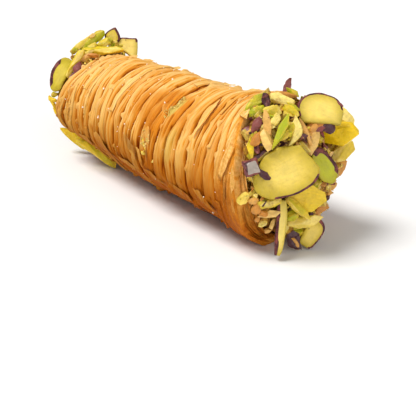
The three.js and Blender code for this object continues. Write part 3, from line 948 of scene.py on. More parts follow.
def core_tree(ground, slices, material):
    """The paste under the nuts: shrunk back where it shows, most of all by the large slices, and lumpy
    there. "Open" is 1 where it shows."""
    tree, size = geometry_tree("Nut paste", shrink=0.8 * MM, lumps=1.8 * MM, dip=1.6 * MM)
    solid = made(tree, "GeometryNodeObjectInfo", {"Object": ground}, slot="Geometry")
    x, y, z = parts(tree, position(tree))
    across, above = (y - ROLL_MIDDLE.y * MM) / MM, (z - AXIS_HEIGHT * MM) / MM
    from_axis = (across ** 2.0 + above ** 2.0) ** 0.5
    angle = above.math("ARCTAN2", across)
    ends = (x / MM).ramp(35.2, 36.2) + (torn_back(angle) - x / MM).ramp(41.2, 42.2)
    ends = (ends + from_axis.ramp(14.6, 15.6)).clamped()
    # Low on the near side in front the wall's edge shows, so it stays within the wall there.
    rim_shows = facing(angle, 232, 2.5) * (x / MM).ramp(30.0, 34.0)
    shows = ends * (1.0 - rim_shows.ramp(0.3, 0.6) * from_axis.ramp(7.5, 9.0))
    lump = (noise(tree, position(tree), 420.0, 2.0, 0.6) - 0.5) * size["lumps"]
    moved = scaled(tree, made(tree, "GeometryNodeInputNormal"), (lump - size["shrink"]) * shows)
    # It dips towards the middle of its end by the slices, and where it would lie over them.
    distance, hides = over_slices(tree, slices, position(tree), 1.2 * MM)
    back_end = (-x / MM).ramp(30.0, 34.0)
    dip = size["dip"] * ((1.0 - distance.ramp(0.3 * MM, 2.5 * MM)) + hides * 1.5 + back_end * 0.35) * ends
    heart = (x / MM).ramp(-1.0, 1.0, -31.0, 31.0)
    lengthways = x / MM - heart
    reach = (lengthways ** 2.0 + from_axis ** 2.0) ** 0.5
    shrunk = (dip / MM / reach).at_most(0.5)
    inner = 18.0 - 6.5 * rim_shows
    narrowed = (shrunk + 1.0 - (inner / from_axis).at_most(1.0)).at_most(0.8)
    dipped = vector(tree, lengthways * shrunk * -MM, across * narrowed * -MM, above * narrowed * -MM)
    marked = keep(tree, solid, "open", shows)
    shaped = made(tree, "GeometryNodeSetPosition", {"Geometry": marked, "Offset": added(tree, moved, dipped)})
    return close_tree(tree, shaped, material)


# Materials

def shader_tree(name):
    material = bpy.data.materials.new(name)
    material.use_nodes = True
    return material, material.node_tree


def paint(tree, **looks):
    """Sets how a material looks, each thing by its label with _ for a space."""
    for label, item in looks.items():
        feed(tree, tree.nodes["Principled BSDF"].inputs[label.replace("_", " ")], item)


def attribute(tree, name, slot="Fac"):
    return made(tree, "ShaderNodeAttribute", slot=slot, attribute_name=name)


def mix(tree, share, first, second, blend="MIX"):
    feeds = {0: share, 6: first, 7: second}  # the colour inputs of a node that mixes any kind
    return made(tree, "ShaderNodeMix", feeds, slot=2, data_type="RGBA", blend_type=blend)


def bump(tree, height, distance, strength=1.0):
    return made(tree, "ShaderNodeBump", {"Height": height, "Distance": distance, "Strength": strength})


def object_place(tree):
    return made(tree, "ShaderNodeTexCoord", slot="Object")


def pastry_material(colours):
    material, tree = shader_tree("Baked fillo")
    where = object_place(tree)
    crevice = attribute(tree, "crevice")
    tone = attribute(tree, "fold_tone")
    gx, gy, _ = parts(tree, attribute(tree, "grain", "Vector"))
    angle = gy / GRAIN_RADIUS
    x = gx / MM
    fibres = noise(tree, vector(tree, gx * 2600.0, gy * 110.0, 0.0), 1.0, 4.0, 0.65)
    lines = noise(tree, vector(tree, gx * 1050.0, gy * 50.0, 4.0), 1.0, 2.0, 0.6)
    patches = noise(tree, where, 70.0, 3.0, 0.6)
    # One side browned more than the rest, in a patch on its upper slope. Its lower side is browned too, and
    # darkened with painted shade, less so by the front rim.
    spot = ((x - 6.0) / 14.0) ** 2.0 + ((angle - math.radians(134)) / 0.56) ** 2.0
    browned = (1.0 - (spot + (patches - 0.5) * 1.2).ramp(0.1, 1.2)) * 0.56
    browned_and_shaded_below = (-angle.sin()).ramp(-0.75, 0.5) * (1.0 - 0.6 * x.ramp(30.0, 37.0))
    rim = x.ramp(28.0, 33.0) * (-angle.cos()).ramp(-0.2, 0.5) * 0.3
    toast = patches * 0.9 + tone * 0.25 + (lines - 0.5) * 0.6
    toast = toast + browned * (0.75 + crevice) + rim + browned_and_shaded_below * 0.36 - 0.23
    surface = mix(tree, toast.ramp(0.34, 0.9, smooth=False), colours.golden, colours.toasted)
    # The crests are paler, partly dry flaky pastry, partly a painted highlight along each fold's edge.
    pale = (1.0 - crevice).ramp(0.66, 0.96) * lines.ramp(0.3, 0.56, 0.3, 1.0) * (1.0 - toast.ramp(0.45, 0.8))
    surface = mix(tree, pale * 0.75, surface, colours.pale)
    # Towards the crevices the colour turns buttery, then to the crevice colour: partly butter, partly painted
    # shade where the folds shade each other.
    deep = crevice * (1.2 - 0.55 * x.ramp(24.0, 34.0)) + (fibres - 0.5) * 0.5
    deep = deep + (0.45 - lines).ramp(0.0, 0.06) * 0.22
    colour = mix(tree, deep.ramp(0.1, 0.42, smooth=False) * 0.8, surface, colours.buttery_and_shaded)
    colour = mix(tree, deep.ramp(0.36, 0.76, smooth=False), colour, colours.crevice)
    # Nut paste is smeared along one fold and, thinner, over its neighbours further down: place along the
    # roll, angle, slant, breadth, half length round the roll and how much.
    smears = ((8.55, 130, 3.7, 0.85, 0.24, 0.8), (12.0, 162, 0.6, 2.3, 0.34, 0.36))
    for at, turn, slant, breadth, reach, much in smears:
        round_way = angle - math.radians(turn)
        spread = ((x - at + round_way * slant) / breadth) ** 2.0 + (round_way / reach) ** 2.0
        smeared = (1.0 - (spread + (lines - 0.5) * 1.6).ramp(0.2, 1.2)) * much
        colour = mix(tree, smeared, colour, colours.smear)
    grainy = (noise(tree, where, 1500.0, 2.0, 0.6) - 0.5) * x.ramp(29.0, 31.5)
    # Streaks of the fibres, fine grain by the front rim, and painted shade on the lower side darken the
    # colour, its blue most.
    shade = fibres.ramp(0.3, 0.7, 0.81, 1.11, smooth=False) * (1.0 - browned_and_shaded_below * 0.42) * (1.0 + grainy * 0.7)
    colour = mix(tree, 1.0, colour, vector(tree, shade, shade ** 1.55, shade ** 3.2), blend="MULTIPLY")
    paint(tree, Base_Color=colour, Roughness=fibres.ramp(0.3, 0.7, 0.5, 0.72), IOR=1.3,
          Specular_IOR_Level=(1.0 - deep.clamped() * 0.7) * (1.0 - browned_and_shaded_below * 0.6) * 0.2,
          Subsurface_Weight=0.08, Subsurface_Radius=(1.0, 0.45, 0.1), Subsurface_Scale=0.4 * MM,
          Normal=bump(tree, fibres + lines * 0.7, 0.3 * MM, 0.9))
    return material


def nut_material(name, colours, broken=0.0):
    """Kernel flesh, greener towards its rim, with its purple skin where that is left on. It is rougher and
    more mottled where it was broken, not cut."""
    material, tree = shader_tree(name)
    where = object_place(tree)
    tone = (attribute(tree, "tone") + attribute(tree, "facet")).clamped()
    rim = attribute(tree, "rim")
    u, v, w = parts(tree, attribute(tree, "inner", "Vector"))
    streaks = noise(tree, vector(tree, u * 260.0, v * 1500.0, w * 1500.0), 1.0, 3.0, 0.6)
    mottle = noise(tree, where, 900.0, 3.0, 0.6)
    flesh = mix(tree, tone.ramp(0.0, 0.5, smooth=False), colours.cream, colours.yellow)
    flesh = mix(tree, tone.ramp(0.5, 1.0, smooth=False), flesh, colours.green)
    flesh = mix(tree, attribute(tree, "ripe"), flesh, colours.ripe)
    heart = (1.0 - rim).ramp(0.1, 0.8) * (1.0 - tone.ramp(0.5, 0.9)) * max(0.0, 0.5 - 2 * broken)
    flesh = mix(tree, heart, flesh, colours.cream)
    greener = mix(tree, 0.75, flesh, colours.rim)
    flesh = mix(tree, (rim + (streaks - 0.5) * 0.35).ramp(0.5, 1.02) * 0.85, flesh, greener)
    shade = streaks.ramp(0.3, 0.7, 0.92 - 0.12 * broken, 1.06 + 0.04 * broken, smooth=False)
    shade = shade * mottle.ramp(0.3, 0.7, 0.93 - 0.17 * broken, 1.04 + 0.1 * broken, smooth=False)
    flesh = mix(tree, 1.0, flesh, shade, blend="MULTIPLY")
    stain = noise(tree, where, 480.0, 4.0, 0.7).ramp(0.54, 0.68) * (1.0 - attribute(tree, "ripe")) * broken
    flesh = mix(tree, stain * 0.65, flesh, colours.stain)
    specks = place(tree, "ShaderNodeTexVoronoi", {"Vector": where, "Scale": 620.0})
    picked = parts(tree, out(tree, specks, "Color"))[0].ramp(0.9, 0.92)
    dots = (1.0 - out(tree, specks, "Distance").ramp(0.1, 0.2)) * picked
    flesh = mix(tree, dots * 0.7, flesh, colours.speck)
    peel = mix(tree, mottle.ramp(0.42, 0.66), colours.skin, colours.worn_skin)
    covered = (attribute(tree, "skin") + (mottle - 0.5) * 0.5).ramp(0.42, 0.55)
    rough = noise(tree, where, 420.0, 2.0, 0.6)
    height = streaks * 0.5 + mottle * (0.6 + 0.8 * broken) + rough * (0.8 + 1.2 * broken)
    paint(tree, Base_Color=mix(tree, covered, flesh, peel), Specular_IOR_Level=0.32,
          Roughness=0.4 + covered * 0.12 + (mottle - 0.5) * 0.3, Subsurface_Weight=0.12,
          Subsurface_Radius=(1.0, 0.8, 0.2), Subsurface_Scale=0.5 * MM,
          Normal=bump(tree, height, 0.4 * MM, 0.7))
    return material


def paste_material(colours):
    material, tree = shader_tree("Nut paste")
    where = object_place(tree)
    grains = noise(tree, where, 1300.0, 3.0, 0.65)
    lumps = noise(tree, where, 420.0, 2.0, 0.6)
    # The darker paste shows in fine grains and, as painted shade, in the dips between the lumps.
    colour = mix(tree, (lumps * 0.6 + grains * 0.5).ramp(0.42, 0.66), colours.dark_paste_and_hollow_shade, colours.paste)
    paint(tree, Base_Color=colour, Roughness=0.6, Specular_IOR_Level=0.2,
          Normal=bump(tree, grains, 0.5 * MM, 0.9))
    return material


def crumb_material(name, first, second):
    """Small bits of one kind, each somewhere between two colours."""
    material, tree = shader_tree(name)
    mottle = noise(tree, object_place(tree), 1100.0, 3.0, 0.6)
    colour = mix(tree, attribute(tree, "tone"), first, second)
    colour = mix(tree, 1.0, colour, mottle.ramp(0.3, 0.7, 0.78, 1.1, smooth=False), blend="MULTIPLY")
    paint(tree, Base_Color=colour, Roughness=mottle.ramp(0.3, 0.7, 0.4, 0.6),
          Normal=bump(tree, mottle, 0.25 * MM, 0.6))
    return material


def peel_material(name, colours, waxy=False):
    """Loose skin, purple and worn in patches. Waxy skin is pale grey but for its edges, the grey partly a
    painted sheen.
    """
    material, tree = shader_tree(name)
    mottle = noise(tree, object_place(tree), 800.0, 3.0, 0.65)
    worn = (mottle + attribute(tree, "tone") * 0.3 - 0.14).ramp(0.45, 0.6)
    colour = mix(tree, worn, colours.skin, colours.worn_skin)
    if waxy:
        inside = 1.0 - (attribute(tree, "skin") + (mottle - 0.5) * 1.3).ramp(0.24, 0.5)
        colour = mix(tree, inside, colour, colours.waxy_skin)
    paint(tree, Base_Color=colour, Roughness=mottle.ramp(0.3, 0.7, 0.3, 0.55),
          Normal=bump(tree, mottle, 0.3 * MM, 0.7))
    return material


# Operators

class BAKLAVA_OT_stage(bpy.types.Operator):
    """Sets the camera, the pale table and soft studio light"""

    bl_idname = "baklava.stage"
    bl_label = "Stage"

    def execute(self, context):
        scene = context.scene
        eye = bpy.data.cameras.new("Camera")
        eye.lens = CAMERA_LENS
        eye.sensor_width = 36.0
        eye.clip_start = 0.01
        camera = linked(bpy.data.objects.new("Camera", eye))
        turn, rise = math.radians(CAMERA_TURN), math.radians(CAMERA_RISE)
        back = Vector((math.sin(turn) * math.cos(rise), -math.cos(turn) * math.cos(rise), math.sin(rise)))
        right = Vector((math.cos(turn), math.sin(turn), 0))
        axes = Matrix((right, back.cross(right), back)).transposed()
        camera.matrix_world = Matrix.Translation(Vector(CAMERA_AT) * MM) @ axes.to_4x4()
        scene.camera = camera

        table = bpy.data.meshes.new("table")
        reach = 3.0
        corners = [(-reach, -reach, 0), (reach, -reach, 0), (reach, reach, 0), (-reach, reach, 0)]
        table.from_pydata(corners, [], [(0, 1, 2, 3)])
        material, tree = shader_tree("Pale table")
        paint(tree, Base_Color=(0.86, 0.86, 0.86, 1), Roughness=0.9)
        table.materials.append(material)
        floor = linked(bpy.data.objects.new("table", table))

        world = bpy.data.worlds.new("Studio")
        world.use_nodes = True
        background = world.node_tree.nodes["Background"]
        background.inputs["Color"].default_value = (1.0, 0.99, 0.975, 1)
        background.inputs["Strength"].default_value = 0.33
        scene.world = world
        scene.view_settings.view_transform = "Standard"

        lamps = (("Key", (-90, -150, 330), 28, 2.95), ("Fill", (300, -60, 130), 50, 1.1))
        for name, at, spread, power in lamps:
            lamp = bpy.data.lights.new(name, "SUN")
            lamp.angle = math.radians(spread)
            lamp.energy = power
            lamp.color = (1.0, 0.985, 0.965)
            light = linked(bpy.data.objects.new(name, lamp))
            light.location = Vector(at) * MM
            light.rotation_euler = light.location.to_track_quat("Z", "Y").to_euler()
        return {"FINISHED"}


class BAKLAVA_OT_pleats(bpy.types.Operator):
    """Makes the pleated pastry tube"""

    bl_idname = "baklava.pleats"
    bl_label = "Pleated pastry"

    def execute(self, context):
        material = pastry_material(context.scene.baklava_pastry)
        piece = grow("pastry_pleats", pleat_tree(context.scene.baklava_roll, material))
        finish_piece(piece, "pastry", "pastry_roll")
        return {"FINISHED"}


class BAKLAVA_OT_strips(bpy.types.Operator):
    """Winds torn strips of pastry along the folds and lays loose leaves on the front rim"""

    bl_idname = "baklava.strips"
    bl_label = "Torn strips"

    def execute(self, context):
        roll = context.scene.baklava_roll
        material = bpy.data.materials["Baked fillo"]
        finish_piece(grow("pastry_strips", strip_tree(roll, material), count=24), "pastry")
        finish_piece(grow("rim_leaves", rim_leaf_tree(roll, material)), "pastry")
        return {"FINISHED"}


# Each torn flake: place along the roll from its middle, angle round it, length, width, turn, lift of its
# standing end, how pointed that end is (0 to 1), and how deep the other end is sunk. Lengths are in
# millimetres. Angles are in degrees, 0 at the far side, 90 on top.
FLAKES = (
    (0.6, 178, 10.0, 5.4, 218, 1.5, 0.85, 0),
    (7.3, 161, 4.4, 2.4, 186, 0.9, 0.2, 0.1),
    (7.4, 176, 4.5, 1.1, 5, 0.8, 0.8, 0),
    (4.6, 184, 5.0, 3.4, 30, 0.5, 0.5, 0.2),
    (22.4, 127, 9.5, 2.8, 2, 0.3, 0.0, 0),
    (34.6, 119, 3.6, 3.2, 60, 0.6, 0.5, 0),
    (35.2, 158, 10.5, 3.8, 0, 0.4, 0.65, 0.1),
    (36.2, 180, 10.0, 1.0, 2, 0.4, 0.6, 0),
    (38.6, 166, 6.5, 2.2, 185, 0.7, 0.7, 0.3),
    (39.0, 187, 5.5, 2.0, 170, 0.6, 0.7, 0.3),
    (38.9, 236, 9.0, 4.0, 22, -1.5, 0.85, 0),
    (-29.5, 68, 3.6, 4.2, 180, 1.2, 0.0, 0.4),
    (-25.6, 64, 3.4, 3.4, 172, 0.7, 0.1, 0.3),
    (-22.4, 66, 3.8, 4.2, 188, 0.9, 0.0, 0.4),
    (-10.0, 66, 3.2, 3.0, 184, 0.8, 0.0, 0.4),
    (-6.6, 62, 3.0, 2.8, 176, 0.6, 0.0, 0.3),
    (11.0, 64, 3.4, 3.0, 172, 0.8, 0.0, 0.3),
    (21.8, 68, 4.8, 6.5, 182, 1.7, 0.0, 0.3),
    (30.0, 70, 4.0, 3.6, 168, 1.1, 0.3, 0.3),
    (-13.0, 196, 9.0, 6.0, 62, 0.7, 0.7, 0.0),
    (-4.5, 201, 8.0, 5.5, 240, 0.4, 0.5, 0.2),
    (9.0, 199, 9.0, 5.0, 250, 0.35, 0.7, 0.2),
    (20.0, 202, 11.0, 4.5, 72, 0.35, 0.6, 0.2),
    (29.5, 200, 11.0, 4.5, 48, 0.4, 0.8, 0.2),
    (-24.0, 199, 10.0, 5.0, 80, 0.3, 0.5, 0.2),
    (-14.0, 350, 6.0, 3.6, 20, 0.8, 0.4, 0),
    (8.0, 20, 7.0, 3.0, 50, 0.9, 0.5, 0),
    (24.0, 0, 6.0, 3.4, 10, 0.8, 0.3, 0),
    (-24.0, 335, 6.5, 3.0, 30, 0.7, 0.5, 0),
)


class BAKLAVA_OT_flakes(bpy.types.Operator):
    """Lays torn flakes of pastry on the roll"""

    bl_idname = "baklava.flakes"
    bl_label = "Torn flakes"

    def execute(self, context):
        roll = context.scene.baklava_roll
        tree = flake_tree(roll, bpy.data.materials["Baked fillo"])
        pieces = []
        for seed, (x, angle, long, wide, turn, lift, point, sunk) in enumerate(FLAKES, 3):
            pieces.append(grow(f"flake_{seed}", tree, seed=float(seed), x=(x + ROLL_MIDDLE.x) * MM,
                               angle=math.radians(angle), length=long * MM, width=wide * MM,
                               turn=math.radians(turn), lift=lift * MM, point=point, sunk=sunk * MM))
        finish_piece(joined("pastry_flakes", pieces), "pastry")
        return {"FINISHED"}


# The large slices, by the solid each stands for: size, place from the roll's middle, the way the cut
# face looks and its spin, then how the slice differs from a plain oval one.
SLICES = {
    "front_half_large": dict(
        size=(14.5, 10.4, 2.4), at=(45.4, -7, 20.2), look=(-38, 22), spin=28, blunt=0.88,
        chords=((12, 0.84), (125, 0.9), (70, 0.96)), skin=((-98, -8),), tone=0.42, seed=1, rind=0.5),
    "front_half_top": dict(
        size=(10.1, 8.4, 2.2), at=(43, 4.9, 30.2), look=(-32, 34), spin=-20, chords=((-75, 0.62),),
        rind=0.46, skin=((0, 200),), tone=0.3, seed=2),
    "front_half_green": dict(
        size=(8.7, 4.7, 2.2), at=(46.3, 3.6, 19.4), look=(-28, 20), spin=-64, blunt=1.05,
        skin=((-25, 150),), rind=0.6, tone=0.92, rough=0.2, seed=4),
    "front_slice_foot": dict(
        size=(7.8, 5.1, 1.6), at=(45.8, 1.3, 3.7), look=(-34, 6), spin=58,
        chords=((100, 0.66), (180, 0.8), (40, 0.9)), rind=0.45, skin=((-95, 60),), tone=0.4, seed=9),
    "front_sliver_long": dict(
        size=(13.4, 2.2, 2), at=(45.2, -7.5, 7.5), look=(-44, 8), spin=87, blunt=0.6,
        chords=((0, 0.94), (180, 0.93)), bow=0.3, rind=0.6, skin=((100, 265),), tone=0.2, seed=6,
        rough=0.05),
    "back_slice_side": dict(
        size=(10.2, 5.6, 1.8), at=(-39.8, -11.1, 24.1), look=(-44, 22), spin=66, blunt=0.95,
        chords=((-90, 0.6),), rind=0.7, skin=((100, 215),), tone=0.68, seed=13),
    "back_tip": dict(
        size=(6.4, 4.6, 1.8), at=(-39.2, 5.8, 32.2), look=(-42, 20), spin=72, blunt=1.5,
        chords=((180, 0.5), (-150, 0.7)), rind=0.5, skin=((-60, 250),), tone=0.55, seed=18),
    "back_slice_top": dict(
        size=(7.2, 7.2, 1.9), at=(-35.8, 8.4, 29.4), look=(-40, 30), spin=-10, blunt=0.8,
        chords=((-118, 0.34), (100, 0.84), (8, 0.85)), rind=0.55, skin=((20, 130),), tone=0.15, seed=19),
}

# The chopped pieces: size, place and turn as above, then how each is hewn.
CHOPPED = {
    "front_wedge": dict(
        size=(8.4, 5.4, 3.6), at=(44.6, 10.4, 24.7), look=(-62, 18), spin=4, tone=0.3, ripe=1.0, seed=3,
        rough=0.06,
        corners=((-1, -0.8, 0.2), (0.2, -1, 0.3), (1, 0.05, 0.1), (0.66, 0.5, 0.55), (-1, 0.3, 1),
                 (-0.9, 1, -0.1), (0.55, 1, -0.2), (0.92, 0.35, -0.6), (-1, -0.7, -1), (0.4, -0.7, -1),
                 (-0.8, 0.9, -1))),
    "front_slice_low": dict(
        size=(9.4, 6.2, 2.3), at=(45.8, -0.9, 12.8), look=(-32, 14), spin=-14, tone=0.42, ripe=0.5, seed=5,
        rough=0.1,
        corners=((-1, -0.3, 1), (-0.6, 1, 1), (0.2, 1, 1), (0.78, 0.7, 1), (0.95, 0.15, 1), (0.55, -0.4, 1),
                 (0.4, -0.85, 0.9), (-0.1, -0.95, 0.8), (-0.7, -0.75, 0.9), (-0.9, 0.8, -1), (0.7, 0.6, -1),
                 (0.9, -0.2, -1), (0.3, -0.9, -1), (-0.8, -0.6, -1))),
    "front_sliver_upper": dict(
        size=(6.4, 2.1, 1.8), at=(46.8, -3.7, 11.2), look=(-38, 14), spin=-42, tone=0.3, ripe=0.2, seed=7,
        stations=((-1, 0.7), (-0.5, 1), (0.4, 0.9), (1, 0.1))),
    "front_sliver_lower": dict(
        size=(7.2, 2.5, 1.8), at=(47, -1.4, 7.8), look=(-38, 12), spin=14, tone=0.3, seed=8, bow=0.3,
        stations=((-1, 0.6), (-0.6, 1), (0.4, 0.9), (1, 0.1))),
    "front_chunk_pale": dict(
        size=(5.6, 4.2, 2.8), at=(41.6, 14.7, 26.3), look=(-20, 30), spin=-50, tone=0.05, rough=0.25,
        seed=10),
    "front_chunk_side": dict(
        size=(6, 3.8, 2.6), at=(42.9, 13.6, 19.4), look=(-26, 4), spin=50, tone=0.25, seed=11,
        stations=((-1, 0.5), (-0.4, 1), (0.5, 0.9), (1, 0.15))),
    "front_blade": dict(
        size=(7.6, 1.9, 1.3), at=(43.8, -7.2, 28.7), look=(-40, 30), spin=66, tone=0.9, rough=0.06, seed=12,
        stations=((-1, 0.2), (-0.3, 0.95), (0.35, 1), (1, 0.3))),
    "back_sliver_rise": dict(
        size=(8.8, 2.9, 2.4), at=(-37.7, -7.9, 27.2), look=(-42, 30), spin=62, tone=0.45, ripe=0.2,
        twist=25, seed=14, stations=((-1, 0.4), (-0.4, 0.9), (0.5, 1), (1, 0.7))),
    "back_sliver_high": dict(
        size=(8.8, 2, 1.8), at=(-42.8, -1.6, 31.2), look=(-40, 26), spin=36, tone=0.5, seed=15),
    "back_chunk_green": dict(
        size=(8.2, 3, 2.7), at=(-41.5, 0.5, 31.7), look=(-40, 26), spin=40, tone=0.95, seed=16,
        stations=((-1, 0.5), (-0.4, 0.8), (0.5, 1), (1, 0.7))),
    "back_stick": dict(
        size=(12, 2.9, 2.4), at=(-36.5, 0.4, 30), look=(-50, 34), spin=4, bow=0.3, tone=0.62, ripe=0.35,
        seed=17, stations=((-1, 0.6), (-0.5, 1), (0.6, 1), (1, 0.6))),
    "back_sliver_floor_short": dict(
        size=(8.4, 3, 2.4), at=(-41.4, -8.2, 5.1), look=(-42, 22), spin=-35, tone=0.72, ripe=0.5, twist=35,
        seed=20, worn=0.08, stations=((-1, 0.45), (-0.4, 0.9), (0.5, 1), (1, 0.85))),
    "back_sliver_floor_long": dict(
        size=(12, 3, 2.6), at=(-27.2, -8.6, 4.35), look=(-42, 20), spin=-33, tone=0.72, ripe=0.5, twist=45,
        seed=21, worn=0.08, stations=((-1, 0.6), (-0.6, 1), (0.5, 1), (1, 0.85))),
}


# How each sort of small bit is hewn.
SORTS = {
    "chunk": dict(rough=0.18, worn=0.05),
    "stick": dict(worn=0.05, stations=((-1, 0.7), (-0.3, 1), (0.5, 0.9), (1, 0.4))),
    "leaf": dict(stations=((-1, 0.15), (-0.3, 0.95), (0.35, 1), (1, 0.15)), curl=0.3, rough=0.08),
    "crescent": dict(stations=((-1, 0.25), (-0.4, 0.9), (0.4, 1), (1, 0.3)), bow=0.9, rough=0.08),
    "skin": dict(stations=((-1, 0.45), (-0.2, 1), (0.4, 0.9), (1, 0.35)), curl=0.5, rough=0.25),
}

